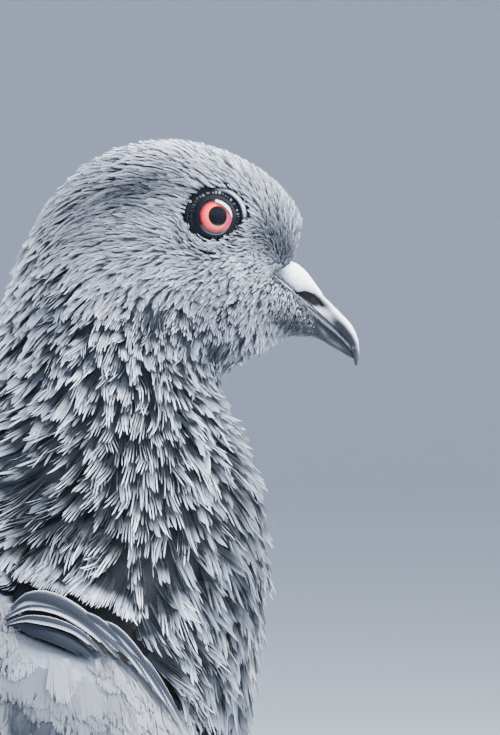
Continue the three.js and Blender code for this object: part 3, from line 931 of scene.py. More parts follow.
@dataclass(frozen=True)
class Cut:
    """The shape of one kind of feather.

    Fields: how many strands of barbs it is made of; where they part, as a share of its length;
    how much of its width it has at the root; where it is widest and how much it narrows by its
    tip; how far its corners are rounded off; how uneven the strands end; how much of its width a
    strand keeps near its tip; how far the strands fan out, wander sideways and curl; how far the
    edges turn down, and how much each strand and the whole feather tilt, as shares of width; and
    in how many steps the vane follows its line before the strands part.
    """

    strands: int
    split: float
    base: float = 0.45
    widest: float = 0.5
    narrow: float = 0.1
    rounding: float = 0.2
    ragged: float = 0.1
    taper: float = 0.5
    fan: float = 0.1
    wander: float = 0.5
    curl: float = 0.1
    cup: float = 0.12
    pleat: float = 0.05
    roll: float = 0.06
    end: float = 0.82
    bends: int = 1

    def mesh(self, name: str, paths: Paths, seed: int, pattern: Callable | None = None) -> Piece:
        """Builds feathers of this shape as one piece.

        Args:
            name: the new piece's name.
            paths: the lines that the feathers lie along.
            seed: the seed of the small differences between them.
            pattern: gives lightness from (lightness, share along, share across, feather number),
                all arrays of one shape; none leaves each feather plain.

        Returns:
            The piece, with its attributes and its bake map.
        """
        random = np.random.default_rng(seed)
        count, strands = len(paths.at), self.strands
        one = (count, strands)
        middle = (np.arange(strands) + 0.5) / strands * 2 - 1
        tip = 1 - self.rounding * np.abs(middle) ** 2.2 - self.ragged * random.random(one)
        split = self.split * (1 + 0.16 * (random.random(one) - 0.5))
        wander = self.wander * random.normal(size=one) / strands
        curl = self.curl * random.normal(size=one)
        tilt = self.pleat * random.normal(size=one) * 2
        roll = self.roll * random.normal(size=(count, 1, 1, 1))

        rows = self.bends + 4
        parted = np.concatenate([np.zeros(self.bends + 1), [0.24, self.end, 1.0]])
        whole = np.concatenate([np.linspace(0, 1, self.bends + 1), np.ones(3)])
        share = split[..., None] * whole + (1 - split[..., None]) * parted
        ends = np.array([self.taper, 0.86 * self.taper, 0.0])
        half = np.concatenate([np.ones(self.bends + 1), ends]) / strands
        centre = middle[None, :, None] * (1 + self.fan * parted) + wander[..., None] * parted
        across = centre[..., None] + half[..., None] * np.array([-1.0, 1.0])
        along = np.broadcast_to((share * tip[..., None])[..., None], across.shape)

        shape = self.base + (1 - self.base) * rise(along, 0, self.widest)
        late = np.clip((along - self.widest) / (1 - self.widest), 0, 1)
        width = paths.width[:, None, None, None] / 2
        reach = width * shape * (1 - self.narrow * late**2)
        place, up = along_path(paths.at, along), unit(along_path(paths.up, along))
        step = unit(along_path(paths.at, along + 0.04) - along_path(paths.at, along - 0.04))
        side = unit(np.cross(step, up))
        lift = width * (
            -self.cup * across**2 * shape
            + (curl[..., None] * parted**1.5)[..., None]
            + tilt[..., None, None] * np.array([-1.0, 1.0]) * rise(along, 0, 0.3)
            + roll * across * along
        )
        place = place + side * (across * reach)[..., None] + up * lift[..., None]

        light = np.broadcast_to(paths.light[:, None, None, None], across.shape)
        # Painted shade darkens the strands in the hollows of the ruff and under the rows of the wing.
        light = light * (1 - 0.95 * shaded(place, random.random(one)[..., None, None]))
        if pattern:
            number = np.broadcast_to(np.arange(count)[:, None, None, None], across.shape)
            light = pattern(light, along, across, number)
        length = np.linalg.norm(np.diff(paths.at, axis=1), axis=2).sum(1)[:, None, None, None]
        vane = np.stack([across * reach / MM, along * length / MM, np.zeros_like(across)], -1)
        shade = np.broadcast_to(random.random(one)[..., None, None], across.shape)
        patch = PATCH_HALF * np.stack([across, 2 * along - 1], -1)
        patch = paths.root[:, None, None, None] + patch

        def points(values: Array) -> Array:
            """Drops the second point of every tip and puts the points in one list."""
            flat = values.reshape(count * strands, 2 * rows, *values.shape[4:])
            return flat[:, :-1].reshape(-1, *values.shape[4:])

        place = points(place)
        first = np.arange(count * strands)[:, None, None] * (2 * rows - 1)
        quads = first + np.array([[2 * i, 2 * i + 1, 2 * i + 3, 2 * i + 2] for i in range(rows - 2)])
        tips = first + np.array([[2 * rows - 4, 2 * rows - 3, 2 * rows - 2]])
        quads = quads.reshape(count * strands, -1)
        corners = np.concatenate([quads, tips.reshape(-1, 3)], 1).ravel()
        sizes = np.tile([4] * (rows - 2) + [3], count * strands)
        mesh = bpy.data.meshes.new(name)
        mesh.vertices.add(len(place))
        mesh.vertices.foreach_set("co", place.ravel())
        mesh.loops.add(len(corners))
        mesh.loops.foreach_set("vertex_index", corners)
        mesh.polygons.add(len(sizes))
        mesh.polygons.foreach_set("loop_start", np.concatenate([[0], np.cumsum(sizes)[:-1]]))
        mesh.update(calc_edges=True)
        mesh.shade_smooth()
        layer = mesh.uv_layers.new(name="OFBake")
        layer.data.foreach_set("uv", points(patch)[corners].astype(np.float32).ravel())
        piece = linked(name, mesh)
        paint(piece, "pigment", pigment(points(light)))
        paint(piece, "along", points(along))
        paint(piece, "strand", points(shade))
        paint(piece, "vane", points(vane))
        return piece


# How many places are tried for each square of the least distance between roots.
TRIES = 3.2
# The area that each root then takes up at random, in squares of that distance.
ROOT_AREA = 1.43


def scattered(ground: Ground, faces: Array, spacing: Array, seed: int) -> tuple[Array, Array]:
    """Spreads roots evenly at random over some faces of a surface.

    Args:
        ground: the surface.
        faces: the numbers of the faces to use.
        spacing: the least distance between roots at each of those faces.
        seed: the seed of the choice.

    Returns:
        The roots, one row each, and the face under each one.
    """
    random = np.random.default_rng(seed)
    weight = ground.area[faces] / spacing**2
    count = int(weight.sum() * TRIES)
    pick = random.choice(len(faces), count, p=weight / weight.sum())
    spread = unit(random.normal(size=(count, 3))) * np.sqrt(ground.area[faces[pick]])[:, None] * 0.6
    facing = ground.normal[faces[pick]]
    points = ground.middle[faces[pick]] + spread - facing * (spread * facing).sum(1, keepdims=True)
    tree = point_tree(points)
    free = np.ones(count, bool)
    keep = []
    for i in range(count):
        if free[i]:
            keep.append(i)
            for _, other, _ in tree.find_range(points[i], spacing[pick[i]]):
                free[other] = False
    return points[keep], faces[pick[keep]]


SKIRT = np.array(
    [(-40.0, -57.6), (-28.0, -59.2), (-22.6, -60.9), (-15.6, -63.4), (-11.8, -66.8), (-9.0, -71.0),
     (-5.6, -76.8), (-2.4, -84.4), (-1.2, -92.0)]
)
DOME = np.array(
    [(-40.0, -57.8), (-34.0, -58.2), (-31.4, -59.8), (-30.4, -63.2), (-24.9, -66.1),
     (-20.5, -67.4), (-18.0, -67.2), (-14.7, -67.9), (-9.0, -72.2), (-2.6, -79.2), (0.0, -84.5)]
)


def at_bend(points: Array) -> tuple[Array, Array]:
    """Whether points are in the stretch of the wing's bend, and below its upper edge."""
    forward, up = from_eye(points).T
    return (forward > -38) & (forward < -1) & (up > -92), up < np.interp(forward, *DOME.T)


def on_dome(points: Array) -> Array:
    """Whether points lie on the bend of the wing, below its upper edge."""
    within, below = at_bend(points)
    return within & below


def over_dome(points: Array) -> Array:
    """Whether points lie over the upper edge of the bend of the wing."""
    within, below = at_bend(points)
    return within & ~below


def under_skirt(points: Array) -> Array:
    """Whether points lie under the fringe where the neck's hackles end over the wing."""
    places = from_eye(points)
    edge = np.interp(places[:, 0], *SKIRT.T)
    within = (places[:, 0] > -38) & (places[:, 0] < 0) & (places[:, 1] > -86)
    return within & (np.abs(points[:, 1]) > 12 * MM) & (places[:, 1] < edge)


# Hollows between the clumps of the ruff: no feather tip ends deep in one, and they are painted dark as
# shade on the skin and on the feathers.
HOLLOWS = (
    Mark((-30.2, -42.6), (6.2, 1.5), -8.0, 0.0),
    Mark((-20.1, -50.7), (4.6, 1.6), -8.0, 0.0),
    Mark((-17.0, -49.0), (0.9, 2.6), 10.0, 0.0),
    Mark((-25.3, -35.9), (1.6, 1.0), -10.0, 0.0),
    Mark((-14.4, -36.5), (0.6, 2.0), 0.0, 0.0),
    Mark((-0.5, -57.9), (2.4, 1.4), -12.0, 0.0),
    Mark((-0.7, -63.0), (0.8, 2.6), 28.0, 0.0),
    Mark((5.6, -59.8), (0.9, 2.0), 30.0, 0.0),
    Mark((1.7, -75.8), (0.9, 2.8), 14.0, 0.0),
    Mark((-13.5, -60.4), (2.2, 0.8), -22.0, 0.0),
)
# Patches of painted shade under the fringe rows at the wing's bend and between the tufts of the head
# and throat.
SHADES = (
    Mark((-32.4, -77.2), (4.4, 1.4), -8.0, 0.0),
    Mark((-29.6, -80.6), (2.3, 3.4), 0.0, 0.0),
    Mark((-25.8, -81.6), (3.8, 2.1), -18.0, 0.0),
    Mark((-9.1, -15.9), (2.2, 1.8), -60.0, 0.0),
    Mark((-14.8, -23.8), (1.2, 1.5), 0.0, 0.0),
    Mark((1.0, -21.7), (1.9, 1.5), -20.0, 0.0),
)

PRESSED = (
    Mark((3.2, -24.8), (6.0, 3.6), 0.0, 3.1),
    Mark((9.0, -69.0), (6.0, 18.0), 0.0, 2.5),
    Mark((11.6, -7.6), (3.4, 2.4), -30.0, 1.2),
)


def pressed(points: Array) -> Array:
    """How far the coat is pressed down at the throat and down the front of the neck, in metres."""
    places = from_eye(points)
    return np.max([mark.weight(places) * mark.lightness for mark in PRESSED], axis=0) * MM


def hollow(points: Array) -> Array:
    """How deep points lie in the hollows of the ruff, which are painted dark as shade, from 0 to 1."""
    places = from_eye(points)
    return np.max([mark.weight(places) for mark in HOLLOWS], axis=0)


def shaded(points: Array, shift: Array) -> Array:
    """How much painted shade darkens the coat in the ruff's hollows and between the wing's rows.

    Args:
        points: places on the feathers.
        shift: a number from 0 to 1 for each strand, which makes the edges of the shade uneven.

    Returns:
        The painted shade, from 0 to 1.
    """
    flat = points.reshape(-1, 3)
    places = from_eye(flat)
    jagged = np.broadcast_to(1.6 * shift - 0.8, points.shape[:-1]).reshape(-1)
    places[:, 1] += jagged
    rows = np.max([mark.weight(places) for mark in SHADES], axis=0)
    return rise(np.maximum(rows, hollow(flat)), 0.3, 0.62).reshape(points.shape[:-1])


@dataclass(frozen=True)
class Bend:
    """How a batch of feathers departs from the map of the coat.

    Fields: how many steps each path has; how far the ways of the feathers and of their tips
    scatter, in degrees; how much their lengths and heights scatter, as shares; where the height
    starts at the root; how much of the map's width and length they have; and how far they stand
    over the map's height, in millimetres.
    """

    steps: int = 6
    scatter: float = 7.0
    veer: float = 10.0
    uneven: float = 0.15
    loft: float = 0.18
    start: float = -0.05
    slim: float = 1.0
    short: float = 1.0
    puff: float = 0.0


def inside_cere(points: Array) -> Array:
    """How far points lie inside the edge of the bare cere, seen from the side, in millimetres."""
    offset = from_eye(points)
    above = offset[:, 1] + 7.75 + 0.8165 * (offset[:, 0] - 9.64)
    under = -6.35 + 0.542 * np.minimum(offset[:, 0] - 12.7, 0.3) - offset[:, 1]
    return np.minimum(np.minimum(above, under), offset[:, 0] - 10.4)


def on_cere(points: Array) -> Array:
    """How surely points lie on the bare cere over the bill, from 0 to 1."""
    return rise(inside_cere(points), -0.3, 0.3)


def lid_edge(turn: Array) -> Array:
    """How far the bare lid reaches from the iris's middle at an angle, in millimetres."""
    below = rise(np.cos(turn - math.radians(262)), 0.0, 0.9)
    behind = rise(np.cos(turn - math.radians(185)), 0.1, 0.95)
    above = rise(np.cos(turn - math.radians(40)), 0.5, 0.9)
    return 4.6 + 0.5 * above - np.maximum(0.9 * below, 0.35 * behind)


LID_MIDDLE = np.array([0.6, 0.7])


def bare(points: Array) -> Array:
    """Whether points lie on the bare lids or the cere, where no feather may pass."""
    offset = from_eye(points) - LID_MIDDLE
    reach = lid_edge(np.arctan2(offset[:, 1], offset[:, 0]))
    round_eye = (np.hypot(*offset.T) < reach) & (np.abs(points[:, 1]) > 6 * MM)
    return round_eye | (on_cere(points) > 0.5)


# A feather needs this share of its path, and its tip stays out of hollows deeper than that.
SHORTEST, DEEPEST = 0.45, 0.6


def grown(ground: Ground, roots: Array, faces: Array, bend: Bend, seed: int) -> Paths:
    """Lays feathers over a surface along the way that the coat lies.

    Args:
        ground: the surface.
        roots: where they grow, one row each.
        faces: the face under each root.
        bend: how they depart from the map.
        seed: the seed of those departures.

    Returns:
        Their paths, without those that would start on bare skin.
    """
    random = np.random.default_rng(seed)
    count = len(roots)
    growth = ground.growth
    length = bend.short * growth.length[faces] * (1 + bend.uneven * random.normal(size=count))
    lift = growth.lift[faces] * np.clip(1 + 0.7 * random.normal(size=count), 0, 2.2)
    stands = 1 + bend.loft * random.normal(size=count)
    turn = np.radians(bend.scatter) * random.normal(size=count)
    veer = np.radians(bend.veer) * random.normal(size=count)
    point, face, blocked = roots, faces, np.zeros(count, bool)
    soft = ground.region[faces] <= Region.TRUNK.value
    line, ups, reached = [], [], np.zeros(count)
    for step in range(bend.steps + 1):
        share = step / bend.steps
        point, face = ground.nearest(point)
        up = ground.normal[face]
        depth = ground.sunk[face] * stands + bend.puff * MM
        height = depth * (bend.start + (1 - bend.start) * share**0.6) + lift * share**2
        height = np.maximum(height - pressed(point) * share**0.6, np.minimum(height, 0.25 * MM))
        blocked |= bare(point) | (soft & under_skirt(point))
        reached[~blocked] = share
        line.append(point + up * height[:, None])
        ups.append(up)
        lie = growth.lie[face]
        angle = (turn + veer * share)[:, None]
        way = lie * np.cos(angle) + np.cross(up, lie) * np.sin(angle)
        ahead = point + way * (length / bend.steps)[:, None]
        point = np.where(blocked[:, None], point + way * 1e-5, ahead)
    # A feather that meets bare skin or an edge is shortened, so that its tip keeps its shape.
    share = np.linspace(0, 1, bend.steps + 1) * reached[:, None]
    line, ups = along_path(np.stack(line, 1), share), along_path(np.stack(ups, 1), share)
    keep = (reached > SHORTEST) & ~(soft & (hollow(line[:, -1]) > DEEPEST))
    light = lightness_at(line[:, -2], ground.region[faces])
    width = growth.width[faces] * bend.slim
    return Paths(line, ups, width, light, unwrapped(roots)).chosen(keep)


@dataclass(frozen=True)
class DownySkin:
    """Feathered skin seen between the vanes: thin grey skin under dense down, matt and shadowed."""

    darkening: float = 0.9
    clump_mm: float = 0.9

    def build(self) -> bpy.types.Material:
        """Makes the material, which reads the pigment attribute."""
        material, tree, output = new_material("Downy skin")
        place = add_node(tree, "TexCoord").outputs["Object"]
        down = add_node(
            tree, "TexNoise", {"Vector": place, "Scale": per_metre(self.clump_mm), "Detail": 4.0}
        ).outputs["Fac"]
        shade = add_node(
            tree, "MapRange",
            {"Value": down, "To Min": 0.7 * self.darkening, "To Max": 1.3 * self.darkening},
        ).outputs["Result"]
        tint = add_node(tree, "Attribute", attribute_name="pigment").outputs["Color"]
        colour = add_node(tree, "VectorMath", {0: tint, "Scale": shade}, operation="SCALE")
        bump = add_node(
            tree, "Bump", {"Height": down, "Strength": 0.6, "Distance": 0.4 * MM}
        ).outputs["Normal"]
        shader = add_node(
            tree, "BsdfPrincipled",
            {
                "Base Color": colour.outputs["Vector"],
                "Roughness": 0.85,
                "Specular IOR Level": 0.2,
                "Normal": bump,
            },
        )
        tree.links.new(shader.outputs["BSDF"], output.inputs["Surface"])
        return material


def tipped(light: Array, along: Array, across: Array, number: Array) -> Array:
    """Feathers that pale towards their tips."""
    return light * (0.74 + 0.34 * rise(along, 0.5, 1.0)) + 0.05 * np.sin(number * 12.9898)


def smooth_covert(light: Array, along: Array, across: Array, number: Array) -> Array:
    """Small wing coverts that melt into a smooth pale sheet, each with a faint rim."""
    return light * (0.94 + 0.08 * rise(along, 0.75, 0.95)) + 0.02 * np.sin(number * 12.9898)


def pale_edged(light: Array, along: Array, across: Array, number: Array) -> Array:
    """Feathers with a paler rim and a darker middle line."""
    rim = np.maximum(rise(along, 0.8, 1.0), rise(np.abs(across), 0.6, 1.0))
    shaft = np.exp(-((across / 0.08) ** 2))
    return light * (0.88 + 0.2 * rim - 0.15 * shaft) + 0.05 * np.sin(number * 12.9898)


@dataclass(frozen=True)
class Patch:
    """One stretch of the scattered coat.

    Fields: the new piece's name and its slot; the regions it covers; the range of feather width
    in millimetres that it takes from the map; how many feathers lie over each place; the shape
    of its feathers, their departures, their lightness pattern and their finish.
    """

    name: str
    slot: str
    regions: tuple[Region, ...]
    widths: tuple[float, float]
    layers: float
    cut: Cut
    bend: Bend
    pattern: Callable
    finish: Plumage
    seed: int


HEAD_VANES = Plumage(
    "Head feathers", root="#505865", root_from=0.15, root_to=0.5, barb_mm=0.18, barb_depth=0.08,
    strand_shade=0.3,
)
NAPE_VANES = Plumage(
    "Nape feathers", root="#32373f", root_from=0.38, root_to=0.68, barb_mm=0.22, barb_depth=0.05,
    sheen=0.05, strand_shade=0.22,
)
NECK_VANES = Plumage(
    "Neck hackles", root="#23282e", root_from=0.42, root_to=0.76, barb_mm=0.25, barb_depth=0.04,
    sheen=0.05, strand_shade=0.16,
)
BODY_VANES = Plumage("Body feathers", root_to=0.45, barb_mm=0.4, strand_shade=0.12)
WING_VANES = Plumage(
    "Wing coverts", root="#8a92a1", root_from=-0.02, root_to=-0.01, barb_mm=0.4, barb_depth=0.04,
    strand_shade=0.03, shade_slit_mm=1.1,
)
SOFT = (Region.HEAD, Region.NECK, Region.TRUNK)

PATCHES = (
    Patch(
        "face_feathers", "head_plumage", SOFT, (0.0, 0.68), 5.6,
        Cut(3, 0.45, rounding=0.3, ragged=0.3, taper=0.66, pleat=0.1, wander=0.8, base=0.25),
        Bend(steps=4, scatter=8, veer=9, slim=0.66, short=0.8, puff=0.4), tipped, HEAD_VANES, 1,
    ),
    Patch(
        "crown_feathers", "head_plumage", SOFT, (0.68, 1.3), 5.6,
        Cut(4, 0.5, rounding=0.3, ragged=0.25, taper=0.66, pleat=0.08, wander=0.7, base=0.25),
        Bend(steps=4, scatter=7, veer=8, loft=0.12, slim=0.62, short=0.85, puff=1.0), tipped,
        HEAD_VANES, 2,
    ),
    Patch(
        "nape_feathers", "neck_plumage", SOFT, (1.3, 2.05), 5.2,
        Cut(4, 0.6, rounding=0.2, ragged=0.3, taper=0.6, fan=0.2, pleat=0.14, wander=0.6,
            curl=0.3, base=0.3, end=0.74),
        Bend(steps=5, scatter=9, veer=13, loft=0.2, slim=0.85, puff=0.9), tipped, NAPE_VANES, 3,
    ),
    Patch(
        "neck_hackles", "neck_plumage", SOFT, (2.05, 2.75), 5.6,
        Cut(5, 0.56, rounding=0.25, ragged=0.26, taper=0.5, fan=0.24, pleat=0.1, wander=0.5,
            curl=0.3, base=0.4, end=0.76),
        Bend(steps=6, scatter=9, veer=13, uneven=0.14, loft=0.16, slim=0.92, puff=0.1), tipped,
        NECK_VANES, 4,
    ),
    Patch(
        "lower_hackles", "neck_plumage", SOFT, (2.75, 4.1), 5.2,
        Cut(6, 0.58, rounding=0.25, ragged=0.26, taper=0.5, fan=0.22, pleat=0.1, wander=0.5,
            curl=0.3, base=0.4, end=0.76),
        Bend(steps=6, scatter=9, veer=13, uneven=0.14, loft=0.16, slim=0.88, puff=0.2), tipped,
        NECK_VANES, 5,
    ),
    Patch(
        "skirt_fringe", "neck_plumage", SOFT, (4.1, 5.4), 5.4,
        Cut(12, 0.76, rounding=0.1, ragged=0.1, taper=0.6, fan=0.05, pleat=0.05, wander=0.4,
            curl=0.06, base=0.5, end=0.7),
        Bend(steps=12, scatter=6, veer=6, loft=0.12), tipped, NECK_VANES, 9,
    ),
    Patch(
        "body_feathers", "body_plumage", SOFT, (5.4, 20.0), 3.6,
        Cut(18, 0.76, rounding=0.3, ragged=0.07, taper=0.85, fan=0.05, pleat=0.04, wander=0.6,
            cup=0.16),
        Bend(steps=6, scatter=7, veer=8), pale_edged, BODY_VANES, 6,
    ),
    Patch(
        "thigh_feathers", "body_plumage", (Region.THIGH,), (0.0, 20.0), 3.4,
        Cut(10, 0.65, rounding=0.3, ragged=0.12, taper=0.75, fan=0.1, pleat=0.06, wander=0.8,
            cup=0.2),
        Bend(steps=5, scatter=8, veer=8), pale_edged, BODY_VANES, 7,
    ),
    Patch(
        "lesser_coverts", "wing_plumage", (Region.WING,), (0.0, 20.0), 7.0,
        Cut(14, 0.84, rounding=0.35, ragged=0.06, taper=0.96, fan=0.02, pleat=0.0, wander=0.5,
            cup=0.02, curl=0.02, roll=0.0, base=0.6),
        Bend(steps=5, scatter=3, veer=3, uneven=0.06, loft=0.0), smooth_covert, WING_VANES, 8,
    ),
)
SHIELD_EDGE = np.array(
    [(-145.0, -40.0), (-124.0, -24.0), (-104.0, -42.0), (-86.0, -44.0), (-64.0, -42.0)]
)


def dark_patch(points: Array) -> Array:
    """How deep points lie in the shadowed hollow over the bend of the wing, from 0 to 1."""
    return Mark((-24.4, -66.7), (7.5, 1.8), -25.0, 0.0).weight(from_eye(points))


def has_coat(points: Array, region: Array) -> Array:
    """Whether scattered feathers grow at places, and not rows of large ones or bare skin."""
    places = from_eye(points)
    edge = np.interp(places[:, 1], *SHIELD_EDGE.T)
    behind = (region == Region.WING.value) & (places[:, 0] < edge)
    soft = region <= Region.TRUNK.value
    return ~(behind | bare(points) | (dark_patch(points) > 0.35) | (soft & under_skirt(points)))


@dataclass
class Coat:
    """The scattered feathers over the whole skin, patch by patch."""

    ground: Ground

    def grow(self, patch: Patch) -> None:
        """Makes one patch of the coat."""
        growth = self.ground.growth
        width = growth.width / MM
        regions = np.isin(self.ground.region, [region.value for region in patch.regions])
        low, high = patch.widths
        faces = np.flatnonzero(regions & (width >= low) & (width < high))
        size = growth.width[faces] * growth.length[faces] * patch.bend.slim * patch.bend.short
        spacing = np.sqrt(size / (ROOT_AREA * patch.layers))
        roots, under = scattered(self.ground, faces, spacing, patch.seed)
        keep = has_coat(roots, self.ground.region[under])
        paths = grown(self.ground, roots[keep], under[keep], patch.bend, patch.seed)
        piece = patch.cut.mesh(patch.name, paths, patch.seed, patch.pattern)
        dressed(piece, patch.finish.build(), patch.slot)
        LOG.info("%s: %d feathers, %d triangles", patch.name, len(paths.at), triangles(piece))

    def build(self) -> None:
        """Makes every patch."""
        for patch in PATCHES:
            self.grow(patch)


def triangles(piece: Piece) -> int:
    """How many triangles a mesh object has."""
    return len(piece.data.loops) - 2 * len(piece.data.polygons)


def dressed(piece: Piece, material: bpy.types.Material, slot: str, *replaced: str) -> None:
    """Gives a piece its material, lets it ride on the body and hides the CAD parts that it replaces."""
    piece.data.materials.clear()
    piece.data.materials.append(material)
    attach(piece, BODY)
    if replaced:
        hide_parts(*replaced)


# ---------------------------------------------------------------- eyes and lids


@dataclass(frozen=True)
class Iris:
    """A pigeon's orange-red iris round a black pupil, under a wet, clear cornea.

    The colours follow the distance from the iris's middle, with fine spokes of pigment.
    Fields: the radii of the pupil and of the iris; where the iris's middle is from the eye's
    axis, and how far the pupil is forward of that; and the colours from the pupil out, each with
    its share of the iris's radius.
    """

    pupil_mm: float = 1.53
    edge_mm: float = 2.95
    middle_mm: tuple[float, float] = (0.13, 0.16)
    forward_mm: float = 0.28
    bands: tuple[tuple[float, str], ...] = (
        (0.5, "#dc6452"), (0.62, "#d84c42"), (0.73, "#c42836"), (0.82, "#820c24"),
        (0.90, "#1c080e"), (0.94, "#060506"),
    )

    def build(self) -> bpy.types.Material:
        """Makes the material, which reads the gaze attribute in millimetres."""
        material, tree, output = new_material("Iris and cornea")
        gaze = add_node(tree, "Attribute", attribute_name="gaze").outputs["Vector"]
        split = add_node(tree, "SeparateXYZ", {"Vector": gaze})
        flat = add_node(tree, "CombineXYZ", {"X": split.outputs["X"], "Y": split.outputs["Y"]})
        flat = add_node(
            tree, "VectorMath", {0: flat.outputs["Vector"], 1: (*self.middle_mm, 0.0)},
            operation="SUBTRACT",
        )
        away = add_node(tree, "VectorMath", {0: flat.outputs["Vector"]}, operation="LENGTH")
        spoke_way = add_node(tree, "VectorMath", {0: flat.outputs["Vector"]}, operation="NORMALIZE")
        spokes = add_node(
            tree, "TexNoise", {"Vector": spoke_way.outputs["Vector"], "Scale": 9.0, "Detail": 3.0}
        ).outputs["Fac"]
        shift = add_node(
            tree, "MapRange", {"Value": spokes, "To Min": -0.16, "To Max": 0.16}
        ).outputs["Result"]
        radius = add_node(tree, "Math", {0: away.outputs["Value"], 1: shift}, operation="ADD")
        share = add_node(
            tree, "Math", {0: radius.outputs[0], 1: self.edge_mm}, operation="DIVIDE"
        ).outputs[0]
        bands = add_node(tree, "ValToRGB", {"Fac": share})
        elements = bands.color_ramp.elements
        while len(elements) < len(self.bands):
            elements.new(0.5)
        for element, (at, shade) in zip(elements, self.bands):
            element.position = at
            element.color = linear(shade)
        front = add_node(
            tree, "MapRange",
            {"Value": split.outputs["X"], "From Min": 0.8, "From Max": 2.2, "To Max": 0.85},
            interpolation_type="SMOOTHSTEP",
        ).outputs["Result"]
        mauve = add_node(
            tree, "Mix", {0: front, 6: bands.outputs["Color"], 7: linear("#80384c")},
            data_type="RGBA",
        ).outputs[2]
        # A painted shade of the lid darkens the upper front of the iris.
        brow = add_node(
            tree, "VectorMath", {0: flat.outputs["Vector"], 1: (0.62, 0.78, 0.0)},
            operation="DOT_PRODUCT",
        )
        brow_shade = add_node(
            tree, "MapRange",
            {"Value": brow.outputs["Value"], "From Min": 1.15, "From Max": 2.0, "To Max": 0.94},
            interpolation_type="SMOOTHSTEP",
        ).outputs["Result"]
        shaded = add_node(
            tree, "Mix", {0: brow_shade, 6: mauve, 7: linear("#1e1018")}, data_type="RGBA"
        ).outputs[2]
        centre = add_node(
            tree, "VectorMath", {0: flat.outputs["Vector"], 1: (self.forward_mm, -0.04, 0)},
            operation="SUBTRACT",
        )
        centre = add_node(
            tree, "VectorMath", {0: centre.outputs["Vector"], 1: (1.0, 0.92, 1.0)}, operation="MULTIPLY"
        )
        hole = add_node(tree, "VectorMath", {0: centre.outputs["Vector"]}, operation="LENGTH")
        pupil = add_node(
            tree, "MapRange",
            {
                "Value": hole.outputs["Value"],
                "From Min": self.pupil_mm - 0.03,
                "From Max": self.pupil_mm + 0.05,
            },
        ).outputs["Result"]
        colour = add_node(
            tree, "Mix", {0: pupil, 6: (0.004, 0.004, 0.006, 1), 7: shaded}, data_type="RGBA"
        ).outputs[2]
        shader = add_node(
            tree, "BsdfPrincipled",
            {
                "Base Color": colour,
                "Roughness": 0.08,
                "IOR": 1.376,
                "Specular IOR Level": 0.1,
                "Coat Weight": 1.0,
                "Coat Roughness": 0.02,
                "Coat IOR": 1.376,
            },
        )
        tree.links.new(shader.outputs["BSDF"], output.inputs["Surface"])
        return material


@dataclass(frozen=True)
class BareSkin:
    """Bare skin or horn that carries its own painted tones, with a fine grain on it.

    Fields: the material's name; its roughness; the size and strength of its grain; how much the
    grain shades it; and the strength of its reflections.
    """

    name: str
    roughness: float
    grain_mm: float
    grain: float
    mottle: float = 0.15
    gloss: float = 0.5

    def build(self) -> bpy.types.Material:
        """Makes the material, which reads the pigment attribute."""
        material, tree, output = new_material(self.name)
        place = add_node(tree, "TexCoord").outputs["Object"]
        noise = add_node(
            tree, "TexNoise",
            {"Vector": place, "Scale": per_metre(self.grain_mm), "Detail": 5.0, "Roughness": 0.6},
        ).outputs["Fac"]
        shade = add_node(
            tree, "MapRange",
            {"Value": noise, "From Min": 0.25, "From Max": 0.75,
             "To Min": 1 - self.mottle, "To Max": 1 + self.mottle},
        ).outputs["Result"]
        tint = add_node(tree, "Attribute", attribute_name="pigment").outputs["Color"]
        colour = add_node(tree, "VectorMath", {0: tint, "Scale": shade}, operation="SCALE")
        bump = add_node(
            tree, "Bump", {"Height": noise, "Strength": self.grain, "Distance": 0.25 * MM}
        ).outputs["Normal"]
        shader = add_node(
            tree, "BsdfPrincipled",
            {
                "Base Color": colour.outputs["Vector"],
                "Roughness": self.roughness,
                "Specular IOR Level": self.gloss,
                "Normal": bump,
            },
        )
        tree.links.new(shader.outputs["BSDF"], output.inputs["Surface"])
        return material


def blend(light: Array, share: Array, tone: float) -> Array:
    """Moves lightnesses towards a tone by a share from 0 to 1."""
    return light + (tone - light) * share


